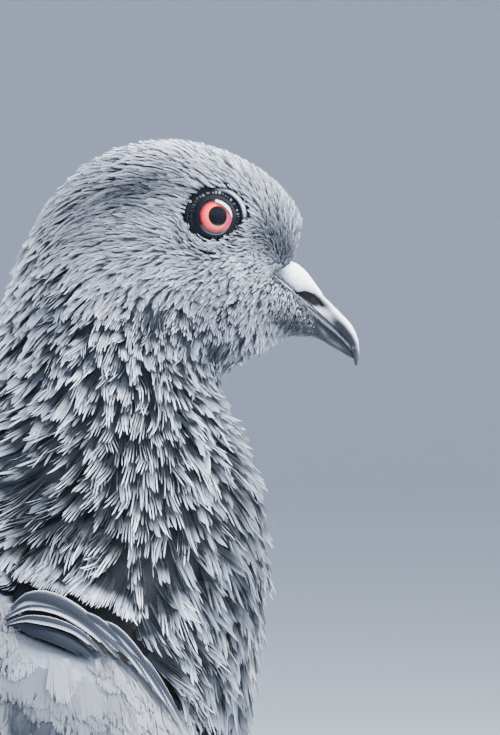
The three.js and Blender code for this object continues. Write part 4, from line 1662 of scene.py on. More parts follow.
@dataclass
class Eye:
    """An eyeball and the bare lids round it.

    Fields: the side of the head; the whole form of the head; the way the eye looks, as forward,
    out and up; the number of beads round the lid; and the lid's rings and points in each.
    """

    side: str
    form: BVHTree
    gaze: tuple[float, float, float] = (0.15, 0.970, 0.192)
    beads: int = 40
    rings: int = 30
    columns: int = 238

    def __post_init__(self) -> None:
        """Finds the eye's own directions from its side."""
        self.out = SIDES[self.side]
        self.middle = middle_of(f"eye_{self.side}")
        self.axis = Vector((self.gaze[0], self.gaze[1] * self.out, self.gaze[2])).normalized()

    def ball(self) -> None:
        """Makes the eyeball, with the slight bulge of the cornea."""
        deselect_all()
        bpy.ops.mesh.primitive_uv_sphere_add(segments=96, ring_count=72, radius=EYE_RADIUS)
        piece = bpy.context.object
        piece.name = piece.data.name = f"eyeball_{self.side}"
        bpy.ops.object.shade_smooth()
        place = coordinates(piece)
        away = np.hypot(place[:, 0], place[:, 1]) / MM
        front = place[:, 2] > 0
        place[:, 2] += 0.06 * MM * rise(away, 3.4, 0.0) * front
        forward = (Vector((1, 0, 0)) - self.axis * self.axis.x).normalized()
        above = np.array(forward.cross(self.axis)) * -self.out
        basis = np.array([forward, above, self.axis])
        gaze = place / MM
        gaze[:, 2] = np.where(front, gaze[:, 2], -9.0)
        gaze[~front, :2] = 9.0
        if np.linalg.det(basis) < 0:
            basis[1] *= -1
        place = place @ basis
        gaze[:, 1] = np.where(front, place @ basis[1] * np.sign(basis[1][2]) / MM, 9.0)
        move_vertices(piece, place + np.array(self.middle))
        edit_all(piece, bpy.ops.mesh.normals_make_consistent, inside=False)
        paint(piece, "gaze", gaze)
        dressed(piece, Iris().build(), "eye", f"eye_{self.side}")

    def profile(self, away: Array, turn: Array) -> tuple[Array, Array]:
        """The height over the lid's base and the tone of the lid at each place.

        Args:
            away: the distance from the middle of the iris in millimetres.
            turn: the angle round it, from forward through up.

        Returns:
            The heights in millimetres and the tones from 0 to 1.
        """

        def ring(at: Array | float, wide: Array | float) -> Array:
            """A soft ring round the eye at a distance, from 0 to 1."""
            return np.exp(-(((away - at) / wide) ** 2))

        behind = rise(np.cos(turn - math.radians(185)), 0.1, 0.95)
        above = rise(np.cos(turn - math.radians(46)), 0.5, 0.9)
        top = rise(np.cos(turn - math.radians(108)), 0.55, 0.95)
        below = rise(np.cos(turn - math.radians(262)), 0.3, 0.9)
        bead_at = 3.72 + 0.26 * behind + 0.24 * top - 0.38 * below + 0.06 * np.sin(turn * 13 + 2)
        uneven = 1.6 * np.sin(turn * 5) + 0.9 * np.sin(turn * 11 + 1)
        wave = 0.5 + 0.5 * np.cos(turn * self.beads + uneven)
        size = 0.2 + 0.07 * np.sin(turn * 9 + 1) + 0.08 * behind
        bead = ring(bead_at, size) * (0.1 + 0.9 * wave)
        crease = 4.70 + 0.08 * np.sin(turn * 3 + 0.6)
        height = (
            -0.75 * rise(away, 2.8, 2.4)
            + 0.15 * ring(3.2, 0.26)
            + 0.24 * bead * (1 - 0.4 * behind)
            - 0.2 * ring(bead_at + 0.42, 0.2)
            + 0.34 * ring(crease, 0.3) * above
            - 0.3 * ring(crease + 0.46, 0.12) * above
            - 0.25 * ring(4.75, 0.3) * top
        )
        tone = np.full_like(away, 0.03)
        tone = blend(tone, rise(away, bead_at - 0.1, bead_at - 0.28), 0.0)
        # The beads are painted lighter on their upper side, as a painted highlight.
        shine = 0.25 + 0.45 * above + 0.35 * top - 0.12 * behind - 0.05 * below
        shine = shine * (0.65 + 0.35 * np.sin(turn * 7 + 2) * np.sin(turn * 17))
        tone = blend(tone, bead * np.clip(shine, 0, 1), 0.95)
        # The grooves outside the beads and round the upper fold are painted dark, as shade; the fold
        # itself is painted pale.
        tone = blend(tone, 0.95 * ring(bead_at + 0.42, 0.2), 0.0)
        tone = blend(tone, 0.95 * ring(crease, 0.33) * above, 0.95)
        tone = blend(tone, 0.97 * ring(crease + 0.46, 0.13) * above, 0.0)
        tone = blend(tone, 0.9 * ring(4.75, 0.35) * top, 0.0)
        tone = blend(tone, 0.6 * ring(2.84, 0.07) * below, 0.8)
        return height, tone

    def lids(self) -> None:
        """Makes the ring of bare lid, laid over the eyeball and the head round it."""
        away = np.linspace(2.4, 6.2, self.rings)
        turn = np.arange(self.columns) / self.columns * math.tau
        away, turn = np.meshgrid(away, turn, indexing="ij")
        centre = from_eye(np.array([self.middle + self.axis * EYE_RADIUS]))[0]
        # The opening is a little taller than wide.
        forward = centre[0] + away * np.cos(turn)
        up = centre[1] + away * np.sin(turn) * (1 + 0.05 * rise(away, 4.0, 2.8))
        height, tone = self.profile(away, turn)
        place = np.empty(away.shape + (3,))
        for row in range(self.rings):
            for column in range(self.columns):
                start = at_eye(forward[row, column], up[row, column], 40 * self.out)
                hit = self.form.ray_cast(start, Vector((0, -self.out, 0)))[0]
                across = math.hypot(start.x - self.middle.x, start.z - self.middle.z)
                ball = self.middle.y * self.out + math.sqrt(max(EYE_RADIUS**2 - across**2, 0))
                share = float(rise(away[row, column], 3.0, 4.5))
                head = hit.y * self.out - 0.35 * MM if hit else ball
                out = (ball + 0.1 * MM) * (1 - share) + head * share
                out += height[row, column] * MM
                edge = float(lid_edge(turn[row, column])) + 0.3
                out -= 1.1 * MM * float(rise(away[row, column], edge, edge + 1.1))
                place[row, column] = (start.x, out * self.out, start.z)
        piece = ribbon(f"eyelid_{self.side}", list(place))
        shown = pigment(tone.ravel()) * (0.25 + 0.75 * rise(tone.ravel(), 0.05, 0.5))[:, None]
        paint(piece, "pigment", shown)
        dressed(piece, BareSkin("Lid skin", 0.7, 0.25, 0.5, 0.25, 0.1).build(), "eye")

    def build(self) -> None:
        """Makes the eye."""
        self.ball()
        self.lids()
        LOG.info("eye %s", self.side)


def ribbon(name: str, rings: Sequence[Array]) -> Piece:
    """Joins closed rings of points into an open band, facing away from the middle plane.

    Args:
        name: the new piece's name.
        rings: rings of points, all of one count.

    Returns:
        The band.
    """
    count = len(rings[0])
    corners = [
        (i * count + j, i * count + (j + 1) % count, (i + 1) * count + (j + 1) % count,
         (i + 1) * count + j)
        for i in range(len(rings) - 1)
        for j in range(count)
    ]
    mesh = bpy.data.meshes.new(name)
    mesh.from_pydata(np.concatenate(rings).tolist(), [], corners)
    piece = linked(name, mesh)
    side = np.sign(rings[0][0][1])
    if sum(polygon.normal.y * side for polygon in mesh.polygons) < 0:
        mesh.flip_normals()
    mesh.shade_smooth()
    return piece


# ---------------------------------------------------------------- bill


@dataclass(frozen=True)
class Station:
    """One section of the bill in the side plane: its upper and lower edge and half width, in mm."""

    top: tuple[float, float]
    under: tuple[float, float]
    half: float


UPPER_BILL = (
    Station((12.6, -6.9), (10.3, -8.3), 3.5),
    Station((14.8, -7.9), (12.9, -10.65), 3.4),
    Station((16.9, -10.1), (15.4, -12.8), 3.0),
    Station((18.7, -12.0), (17.4, -14.55), 2.5),
    Station((21.2, -14.5), (19.6, -16.45), 2.1),
    Station((23.1, -16.6), (21.4, -18.25), 1.7),
    Station((24.15, -19.2), (22.8, -19.9), 1.25),
    Station((24.3, -21.4), (23.2, -21.3), 0.9),
    Station((24.05, -23.2), (23.6, -23.05), 0.35),
)
LOWER_BILL = (
    Station((15.9, -13.2), (15.6, -18.0), 2.3),
    Station((16.5, -13.8), (16.3, -18.4), 2.35),
    Station((17.9, -15.1), (17.7, -18.9), 2.1),
    Station((19.6, -16.55), (19.3, -19.8), 1.7),
    Station((21.4, -18.3), (21.2, -20.85), 1.25),
    Station((22.8, -20.0), (22.5, -21.65), 0.75),
    Station((23.5, -21.1), (23.45, -22.05), 0.3),
)
CERE = (
    Station((10.8, -6.6), (9.9, -8.5), 5.2),
    Station((13.4, -6.05), (11.6, -10.0), 5.5),
    Station((15.5, -7.5), (13.7, -11.05), 4.2),
    Station((17.1, -9.65), (15.6, -11.0), 2.9),
    Station((18.3, -11.35), (17.3, -11.75), 1.1),
)


@dataclass
class Mandible:
    """A tapering horn or skin piece lofted through stations of the bill.

    Fields: the piece's name, its stations, how many rings and sides it has, and the function
    that turns an angle round the section, from the top, into shares of height and half width.
    """

    name: str
    stations: Sequence[Station]
    section: Callable[[Array], tuple[Array, Array]]
    rings: int = 72
    sides: int = 56

    def shape(self) -> tuple[Piece, Array, Array]:
        """Makes the piece and gives it with each vertex's share along it and angle round it."""
        values = np.array([(*s.top, *s.under, s.half) for s in self.stations])
        curve = curve_through(values, self.rings)
        turn = np.arange(self.sides) / self.sides * math.tau
        height, across = self.section(turn)
        rings = []
        for forward, top, low_forward, low, half in curve:
            middle = np.array([(forward + low_forward) / 2, (top + low) / 2])
            reach = np.array([forward - low_forward, top - low]) / 2
            spots = middle + height[:, None] * reach
            rings.append(
                np.array([at_eye(x, z, y) for (x, z), y in zip(spots, across * half)])
            )
        ends = [rings[0].mean(0) + (rings[0] - rings[0].mean(0)) * share for share in (0.02, 0.6)]
        close = [rings[-1].mean(0) + (rings[-1] - rings[-1].mean(0)) * share for share in (0.6, 0.02)]
        piece = sweep(self.name, [*ends, *rings, *close])
        place = coordinates(piece)
        flat = np.concatenate([*ends, *rings, *close])
        tree = point_tree(flat)
        index = np.array([tree.find(point)[1] for point in place])
        along = np.clip((index // self.sides - 2) / (self.rings - 1), 0, 1)
        return piece, along, turn[index % self.sides]


def upper_section(turn: Array) -> tuple[Array, Array]:
    """The upper mandible's section: a rounded ridge, full sides and a hollow palate."""
    height, across = np.cos(turn), np.sin(turn)
    across = np.sign(across) * np.abs(across) ** 0.8 * (1 - 0.16 * np.clip(height, 0, 1))
    cutting_edge = -1.1 * np.abs(height) ** 0.4
    palate = 0.4 * rise(np.abs(across), 0.7, 0.3)
    return np.where(height < 0, cutting_edge + palate, height), across


def lower_section(turn: Array) -> tuple[Array, Array]:
    """The lower mandible's section: a rounded keel under a flat top."""
    height, across = np.cos(turn), np.sin(turn)
    return height, 0.94 * np.sign(across) * np.abs(across) ** 0.8


def cere_section(turn: Array) -> tuple[Array, Array]:
    """The cere's section: two swollen lobes with a groove between them along the top."""
    height, across = np.cos(turn), np.sin(turn)
    groove = 0.26 * np.exp(-((across / 0.2) ** 2)) * (height > 0)
    return height - groove, np.sign(across) * np.abs(across) ** 0.55


HORN = BareSkin("Bill horn", 0.55, 0.45, 0.4, 0.3, 0.2)
CHALK = BareSkin("Chalky cere", 0.9, 0.3, 1.0, 0.14, 0.2)
LIP = BareSkin("Gape skin", 0.6, 0.3, 0.5, 0.12, 0.2)


def spot(place: Array, at: tuple[float, float], size: tuple[float, float], turn: float) -> Array:
    """How near places are to the middle of a soft oval in the side plane, from 0 to 1."""
    return Mark(at, size, turn, 0.0).weight(from_eye(place))


GAPE = np.array(
    [(8.2, -7.1), (9.64, -7.95), (11.0, -9.05), (12.4, -10.2), (13.6, -11.15), (14.6, -12.0),
     (16.0, -13.2), (17.4, -14.5)]
)


@dataclass
class Bill:
    """The two mandibles, the cere over the nostrils and the bare edges of the gape."""

    form: BVHTree

    def upper(self) -> None:
        """Makes the hooked upper mandible, with a nostril slit sunk in each side."""
        piece, along, turn = Mandible("bill_horn_upper", UPPER_BILL, upper_section).shape()
        place = coordinates(piece)
        slit = np.clip(2.0 * spot(place, (15.7, -11.75), (3.6, 1.0), -31.0), 0, 1)
        side = np.abs(np.sin(turn))
        place[:, 1] -= np.sign(place[:, 1]) * 1.4 * MM * slit * side
        growth_rings = 0.02 * MM * np.sin(along * 95) * (along < 0.9)
        place += normals_of(piece) * growth_rings[:, None]
        move_vertices(piece, place)
        tone = np.full(len(place), 0.66)
        # The ridge along the top is painted pale, as a painted highlight; the underside is darker.
        tone = blend(tone, rise(np.cos(turn), 0.2, 0.75), 1.0)
        dusky = np.clip(1.8 * spot(place, (21.9, -17.8), (3.2, 0.75), -52.0), 0, 1)
        hook = np.clip(2.2 * spot(place, (23.75, -21.9), (1.6, 0.6), -84.0), 0, 1)
        tone = blend(tone, 0.97 * np.maximum(dusky, hook), 0.0)
        tone = blend(tone, 0.8 * spot(place, (17.6, -13.6), (2.4, 0.5), -40.0), 1.0)
        tone = blend(tone, rise(np.cos(turn), -0.35, -0.6), 0.0)
        # The top is lifted once more, as painted highlight.
        shown = pigment_bright(tone + 0.12 * rise(np.cos(turn), 0.3, 0.8) * tone)
        # The nostril slit is painted almost black, as shade in its dent.
        paint(piece, "pigment", shown * ((1 - 0.985 * slit) * (1 - 0.5 * dusky))[:, None])
        dressed(piece, HORN.build(), "bill_horn", "bill_upper")

    def lower(self) -> None:
        """Makes the lower mandible, dark with a pale upper edge."""
        piece, _, turn = Mandible("bill_horn_lower", LOWER_BILL, lower_section).shape()
        place = coordinates(piece)
        tone = np.full(len(place), 0.03)
        speckle = 0.5 + 0.5 * np.sin(place[:, 0] / MM * 9.0 + 4 * np.sin(place[:, 2] / MM * 7.0))
        tone = blend(tone, 0.8 * rise(np.cos(turn), 0.45, 0.65) * speckle, 0.6)
        tone = blend(tone, rise(np.cos(turn), 0.74, 0.8), 0.95)
        tone = blend(tone, rise(np.cos(turn), 0.87, 0.93), 0.0)
        tone = blend(tone, 0.45 * spot(place, (20.4, -19.6), (1.6, 0.35), -32.0), 0.5)
        tone = blend(tone, 0.4 * spot(place, (18.4, -17.6), (1.3, 0.3), -50.0), 0.6)
        paint(piece, "pigment", pigment(tone) * (0.6 + 0.4 * rise(tone, 0.1, 0.5))[:, None])
        dressed(piece, HORN.build(), "bill_horn", "bill_lower")

    def cere(self) -> None:
        """Makes the white, swollen cere."""
        piece, _, turn = Mandible("cere_lobes", CERE, cere_section, rings=48).shape()
        place = coordinates(piece)
        tone = np.full(len(place), 1.25)
        # The underside is painted darker, as shade.
        tone = blend(tone, 0.75 * rise(np.cos(turn), -0.2, -0.7), 0.7)
        tone = blend(tone, 0.6 * spot(place, (11.4, -8.0), (1.6, 1.0), -40.0), 0.6)
        paint(piece, "pigment", pigment_bright(tone))
        dressed(piece, CHALK.build(), "cere_skin", "cere")

    def lips(self) -> None:
        """Makes the skin edges of the gape that run back under the cere.

        The lower one is pale; the upper one is painted dark, as the shade in the mouth line.
        """
        for side, out in SIDES.items():
            # The upper strand is painted dark, as the shade in the mouth line; the lower one is pale
            # skin.
            for name, drop, radius, tone in (("upper", 0.24, 0.14, 0.0), ("lower", 0.0, 0.06, 0.95)):
                points = curve_through(GAPE + np.array([drop * 0.55, drop * 0.8]), 26)
                rings = []
                for i, (forward, up) in enumerate(points):
                    start = at_eye(forward, up, 30 * out)
                    hit = self.form.ray_cast(start, Vector((0, -out, 0)))[0]
                    share = i / (len(points) - 1)
                    reach = hit.y * out / MM if hit else 2.4
                    reach = min(reach, 9.0)
                    reach = reach * (1 - rise(share, 0.55, 0.9)) + 2.75 * rise(share, 0.55, 0.9)
                    thick = radius * min(1.0, 6 * share + 0.05, 6 * (1 - share) + 0.05)
                    turn = np.arange(10) / 10 * math.tau
                    ring = [
                        at_eye(
                            forward + thick * math.cos(a) * 0.65,
                            up + thick * math.cos(a) * 0.75,
                            (reach - 0.3 + 1.8 * thick * math.sin(a)) * out,
                        )
                        for a in turn
                    ]
                    rings.append(np.array(ring))
                piece = sweep(f"gape_{name}_{side}", rings)
                paint(piece, "pigment", pigment(np.full(len(piece.data.vertices), tone)))
                dressed(piece, LIP.build(), "cere_skin")

    def build(self) -> None:
        """Makes the bill."""
        self.upper()
        self.lower()
        self.cere()
        self.lips()
        LOG.info("bill")


def pigment_bright(tone: Array) -> Array:
    """The linear colour of tones that may go past 1, up to chalk white."""
    return pigment(tone) + (0.9 - PALE) * np.clip(tone - 1, 0, 0.25)[:, None] * 3.2


# ---------------------------------------------------------------- large feathers in rows


def barred(low: float, high: float, tone: float) -> Callable:
    """A pattern with a dark bar between two shares of each feather's length."""

    def pattern(light: Array, along: Array, across: Array, number: Array) -> Array:
        """Pale-edged feathers with the bar on them."""
        plain = pale_edged(light, along, across, number)
        return blend(plain, rise(along, low, low + 0.06) * rise(along, high + 0.06, high), tone)

    return pattern


def dusky_tipped(light: Array, along: Array, across: Array, number: Array) -> Array:
    """Flight feathers that darken towards their tips, with a dark shaft."""
    shaft = np.exp(-((across / 0.07) ** 2))
    rim = rise(np.abs(across), 0.75, 1.0)
    return light * (1.06 - 0.3 * rise(along, 0.45, 1.0) - 0.3 * shaft + 0.12 * rim)


def checked(light: Array, along: Array, across: Array, number: Array) -> Array:
    """Coverts with a dark check on each web and a pale tip."""
    plain = pale_edged(light, along, across, number)
    some = 0.5 + 0.5 * np.sin(number * 7.31)
    check = rise(along, 0.42, 0.56) * rise(along, 0.92, 0.84) * rise(np.abs(across), 0.1, 0.3)
    return blend(plain, check * (0.45 + 0.5 * some), 0.16)


@dataclass(frozen=True)
class Row:
    """A row of large feathers over the surface of the folded wing or of the tail.

    Fields: its name; the curve of its roots and the curve of its tips from the first feather to
    the last, each as three places from the eye in millimetres; how many feathers it has and their
    width; how high it lies over the surface; how much each feather tilts to lie over the next
    one, in degrees; its lightness, pattern and cut; and how far its feathers arch, as a share of
    their length.
    """

    name: str
    roots: tuple[tuple[float, float], ...]
    tips: tuple[tuple[float, float], ...]
    count: int
    width: float
    height: float
    tilt: float
    light: float
    pattern: Callable
    cut: Cut
    sag: float = 0.05


VANE = Cut(
    20, 0.92, base=0.5, widest=0.45, narrow=0.12, rounding=0.25, ragged=0.02, fan=0.0,
    wander=0.3, curl=0.02, cup=0.10, pleat=0.0, roll=0.01, taper=0.92, bends=8,
)
LONG_VANE = Cut(
    22, 0.93, base=0.5, widest=0.35, narrow=0.25, rounding=0.10, ragged=0.01, fan=0.0,
    wander=0.2, curl=0.01, cup=0.08, pleat=0.0, roll=0.0, taper=0.95, bends=12,
)
WING_ROWS = (
    Row(
        "secondaries", ((-58, -138), (-72, -122), (-74, -100)),
        ((-128, -150.5), (-142, -147), (-151, -140)), 11, 13.0, 0.1, -5.0, 0.62,
        barred(0.68, 0.86, 0.08), LONG_VANE,
    ),
    Row(
        "tertials", ((-70, -103), (-70, -95), (-62, -84)),
        ((-151, -139), (-156, -131), (-132, -117)), 6, 15.0, 0.9, -5.0, 0.66,
        barred(0.62, 0.8, 0.08), LONG_VANE,
    ),
    Row(
        "primary_coverts", ((-14, -120), (-30, -134), (-48, -143)),
        ((-44, -137), (-62, -147), (-80, -150)), 8, 8.0, 0.2, 4.0, 0.58,
        pale_edged, VANE,
    ),
    Row(
        "greater_coverts", ((-32, -133), (-52, -116), (-50, -80)),
        ((-68, -147), (-92, -128), (-84, -104)), 15, 10.0, 0.9, -6.0, 0.74,
        barred(0.5, 0.8, 0.10), VANE,
    ),
    Row(
        "median_coverts", ((-18, -122), (-38, -104), (-38, -68)),
        ((-42, -138), (-66, -116), (-62, -86)), 15, 9.0, 1.2, -6.0, 0.76,
        checked, VANE,
    ),
    Row(
        "scapulars", ((-42, -64), (-54, -69), (-68, -76)),
        ((-78, -87), (-94, -94), (-114, -104)), 7, 14.0, 1.4, -5.0, 0.62,
        pale_edged, VANE,
    ),
    Row(
        "alula", ((-6, -106), (-8, -110), (-10, -114)),
        ((-22, -126), (-25, -130), (-29, -134)), 3, 5.0, 0.6, 0.0, 0.36,
        pale_edged, VANE,
    ),
)
PRIMARY_ROW = Row(
    "flight", ((-92, -150), (-104, -141), (-108, -131)),
    ((-150, -154.8), (-182, -156.0), (-206.5, -155.4)), 7, 7.6, 0.0, -4.0, 0.30,
    dusky_tipped, LONG_VANE, 0.0,
)


def curve_at(points: Sequence[tuple[float, float]], share: Array) -> Array:
    """Places on the quadratic curve that leaves the first point and reaches the last."""
    start, middle, end = (np.array(point, float) for point in points)
    bend = 2 * middle - (start + end) / 2
    t = share[:, None]
    return start * (1 - t) ** 2 + 2 * bend * t * (1 - t) + end * t**2


@dataclass
class Vanes:
    """Large feathers laid one by one over a surface seen from the side or from above.

    Fields: the surface, and how many points each feather's path has.
    """

    surface: BVHTree
    steps: int = 9

    def laid(self, start: Vector, way: Vector) -> tuple[Vector, Vector] | None:
        """Where a line meets the surface, with the way that it faces there."""
        hit, facing, _, _ = self.surface.ray_cast(start, way)
        if hit is None:
            return None
        return hit, facing if facing.dot(way) < 0 else -facing

    def path(self, starts: Sequence[Vector], way: Vector) -> tuple[Array, Array]:
        """Drops a line of points onto the surface and bridges the ones that miss it."""
        found = [self.laid(start, way) for start in starts]
        good = [i for i, hit in enumerate(found) if hit]
        if not good:
            raise ValueError("a feather misses its surface")
        spots = np.array([found[i][0] for i in good])
        ways = np.array([found[i][1] for i in good])
        index = np.arange(len(starts))
        flat = np.array(starts)
        place = np.stack([np.interp(index, good, spots[:, axis]) for axis in range(3)], 1)
        fixed = [axis for axis in range(3) if abs(way[axis]) < 0.5]
        place[:, fixed] = flat[:, fixed]
        facing = np.stack([np.interp(index, good, ways[:, axis]) for axis in range(3)], 1)
        for _ in range(2):
            place[1:-1] = (place[:-2] + 2 * place[1:-1] + place[2:]) / 4
            facing[1:-1] = (facing[:-2] + 2 * facing[1:-1] + facing[2:]) / 4
        return place, unit(facing)

    def row(self, row: Row, side: str) -> Piece:
        """Builds one row on one side.

        Args:
            row: the row.
            side: the side of the bird.

        Returns:
            The row's piece, not dressed yet.
        """
        out = SIDES[side]
        share = np.linspace(0, 1, row.count)
        roots, tips = curve_at(row.roots, share), curve_at(row.tips, share)
        lines, ups = [], []
        for number, (root, tip) in enumerate(zip(roots, tips)):
            t = np.linspace(0, 1, self.steps)[:, None]
            line = root + (tip - root) * t
            line[:, 1] += row.sag * np.linalg.norm(tip - root) * (4 * t * (1 - t))[:, 0] * 0.5
            starts = [at_eye(forward, up, 70 * out) for forward, up in line]
            place, facing = self.path(starts, Vector((0, -out, 0)))
            step = unit(np.gradient(place, axis=0))
            tilt = math.radians(row.tilt * out)
            facing = unit(facing - step * (facing * step).sum(1, keepdims=True))
            facing = facing * math.cos(tilt) + np.cross(step, facing) * math.sin(tilt)
            rising = row.height - 2.2 * (1 - rise(t[:, 0], 0.0, 0.24))
            rising = rising + 0.03 * number
            lines.append(place + facing * (rising * MM)[:, None])
            ups.append(facing)
        width, light = np.full(row.count, row.width * MM), np.full(row.count, row.light)
        paths = Paths.laid(lines, ups, width, light)
        return row.cut.mesh(f"{row.name}_{side}", paths, SEED + row.count, row.pattern)


QUILL = Plumage(
    "Flight feathers", root_from=0.0, root_to=0.12, barb_mm=0.5, barb_depth=0.12, sheen=0.08,
    strand_shade=0.05,
)
SHIELD = Plumage(
    "Large coverts", root="#3a414c", root_from=0.0, root_to=0.3, barb_mm=0.45, barb_depth=0.1,
    strand_shade=0.04,
)

# Each plume's root, middle and tip from the eye and its width, in millimetres; its lightness.
# The first, with lightness 0, is a dark blade laid low in the hollow under the others as painted shade.
PLUMES = (
    ((-33.0, -63.0), (-25.0, -65.4), (-17.5, -69.9), 4.4, 0.0),
    ((-31.4, -61.8), (-23.6, -61.9), (-12.6, -71.2), 3.8, 0.95),
    ((-32.4, -63.0), (-22.9, -63.6), (-13.6, -71.8), 2.2, 0.95),
    ((-32.4, -64.0), (-23.6, -65.0), (-16.6, -70.1), 2.0, 0.92),
    ((-22.0, -62.8), (-17.0, -65.2), (-12.0, -71.6), 1.9, 0.85),
    ((-19.6, -64.4), (-14.4, -68.3), (-9.2, -75.6), 1.7, 0.90),
    ((-18.4, -63.8), (-13.0, -67.8), (-6.5, -78.6), 1.7, 0.95),
    ((-15.6, -65.6), (-10.9, -71.6), (-5.4, -80.6), 1.5, 0.90),
    ((-13.8, -66.8), (-9.4, -72.6), (-4.0, -82.4), 1.4, 0.95),
    ((-12.2, -68.2), (-8.4, -73.8), (-2.8, -84.0), 1.4, 0.90),
)


def plume_highlight_and_shade(light: Array, along: Array, across: Array, number: Array) -> Array:
    """Plumes with a painted highlight on both rims, painted shade in the web between and a pale tip."""
    rim = np.maximum(rise(across, 0.35, 0.95) ** 1.3, 0.85 * rise(-across, 0.62, 0.95))
    return light * (0.04 + 0.96 * rim + 0.1 * rise(along, 0.6, 1.0))


@dataclass
class Plumes:
    """The long, narrow, curved plumes that arch over the bend of each wing."""

    form: BVHTree

    def build(self) -> None:
        """Makes the plumes of both sides."""
        cut = Cut(
            7, 0.9, base=0.35, widest=0.35, narrow=0.55, rounding=0.25, ragged=0.05, fan=0.0,
            wander=0.1, curl=0.0, cup=0.3, pleat=0.0, roll=0.02, taper=0.8, bends=12,
        )
        finish = Plumage(
            "Shoulder plumes", root="#3a414c", root_from=0.0, root_to=0.1, barb_mm=0.55,
            barb_depth=0.5, roughness=0.85, gloss=0.06, sheen=0.0, strand_shade=0.14,
        )
        width, light = np.array([plume[3:] for plume in PLUMES]).T
        for side, out in SIDES.items():
            vanes = Vanes(self.form, 12)
            lines, ups = [], []
            for number, (root, middle, tip, _, _) in enumerate(PLUMES):
                line = curve_at((root, middle, tip), np.linspace(0, 1, vanes.steps))
                starts = [at_eye(forward, up, 70 * out) for forward, up in line]
                place, facing = vanes.path(starts, Vector((0, -out, 0)))
                facing[:, 2] += 0.25
                t = np.linspace(0, 1, vanes.steps)
                height = 1.5 - 0.1 * number - 1.0 * (number < 1) + 0.5 * np.sin(t * math.pi)
                height = height - 1.3 * rise(t, 0.16, 0.0)
                lines.append(place + unit(facing) * (height * MM)[:, None])
                ups.append(unit(facing))
            paths = Paths.laid(lines, ups, width * MM, light)
            flip = plume_highlight_and_shade if out < 0 else (lambda g, a, x, n: plume_highlight_and_shade(g, a, -x, n))
            piece = cut.mesh(f"shoulder_plumes_{side}", paths, SEED, flip)
            dressed(piece, finish.build(), "body_plumage")
        LOG.info("plumes")


@dataclass
class Wings:
    """The rows of large feathers on both folded wings, and the wing tips past them."""

    form: BVHTree

    def build(self) -> None:
        """Makes the rows."""
        for side in SIDES:
            vanes = Vanes(self.form)
            for row in WING_ROWS:
                dressed(vanes.row(row, side), SHIELD.build(), "wing_plumage")
            node = f"primaries_{side}"
            tips = Vanes(node_surface([node])).row(PRIMARY_ROW, side)
            dressed(tips, QUILL.build(), "flight_feather", node)
        LOG.info("wings")


def banded_tail(light: Array, along: Array, across: Array, number: Array) -> Array:
    """Tail feathers: grey, with a paler zone before the broad dark band at the end."""
    shaft = np.exp(-((across / 0.06) ** 2))
    plain = light * (1 - 0.25 * shaft + 0.25 * rise(along, 0.55, 0.72))
    band = rise(along, 0.74, 0.79) * rise(along, 0.985, 0.965)
    return blend(plain, band, 0.07)


@dataclass
class Tail:
    """The closed fan of twelve tail feathers.

    Fields: how many feathers there are, the half angle of the fan in degrees, their width in
    millimetres, and where they start and end from the eye.
    """

    count: int = 12
    spread: float = 7.5
    width: float = 15.0
    start: float = -150.0
    end: float = -226.3

    def build(self) -> None:
        """Makes the fan, outer feathers below inner ones."""
        vanes = Vanes(node_surface(["tail"]))
        lines, ups = [], []
        order = sorted(range(self.count), key=lambda i: -abs(i - (self.count - 1) / 2))
        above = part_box("tail")[1].z + 20 * MM
        for place_in_order, number in enumerate(order):
            share = (number + 0.5) / self.count * 2 - 1
            reach = (self.start - self.end) * (1 - 0.035 * share**4)
            angle = math.radians(self.spread) * share
            starts = []
            for t in np.linspace(0, 1, vanes.steps):
                back = self.start - reach * t * math.cos(angle)
                across = 8.0 * share + reach * t * math.sin(angle)
                spot = at_eye(back, 0, across)
                starts.append(Vector((spot.x, spot.y, above)))
            place, facing = vanes.path(starts, Vector((0, 0, -1)))
            height = (0.09 * place_in_order - 0.9) * MM
            lines.append(place + facing * height)
            ups.append(facing)
        width, light = np.full(self.count, self.width * MM), np.full(self.count, 0.52)
        paths = Paths.laid(lines, ups, width, light)
        cut = Cut(
            24, 0.95, base=0.5, widest=0.5, narrow=0.02, rounding=0.06, ragged=0.008, fan=0.0,
            wander=0.2, curl=0.01, cup=0.05, pleat=0.0, roll=0.0,
        )
        piece = cut.mesh("tail_fan", paths, SEED, banded_tail)
        dressed(piece, QUILL.build(), "tail_feather", "tail")
        LOG.info("tail")


# ---------------------------------------------------------------- legs


def over_floor(points: Array) -> Array:
    """The same points with none below the floor."""
    return np.maximum(points, [-np.inf, -np.inf, 0.0])


TOE_NAMES = ("inner", "middle", "outer", "hind")


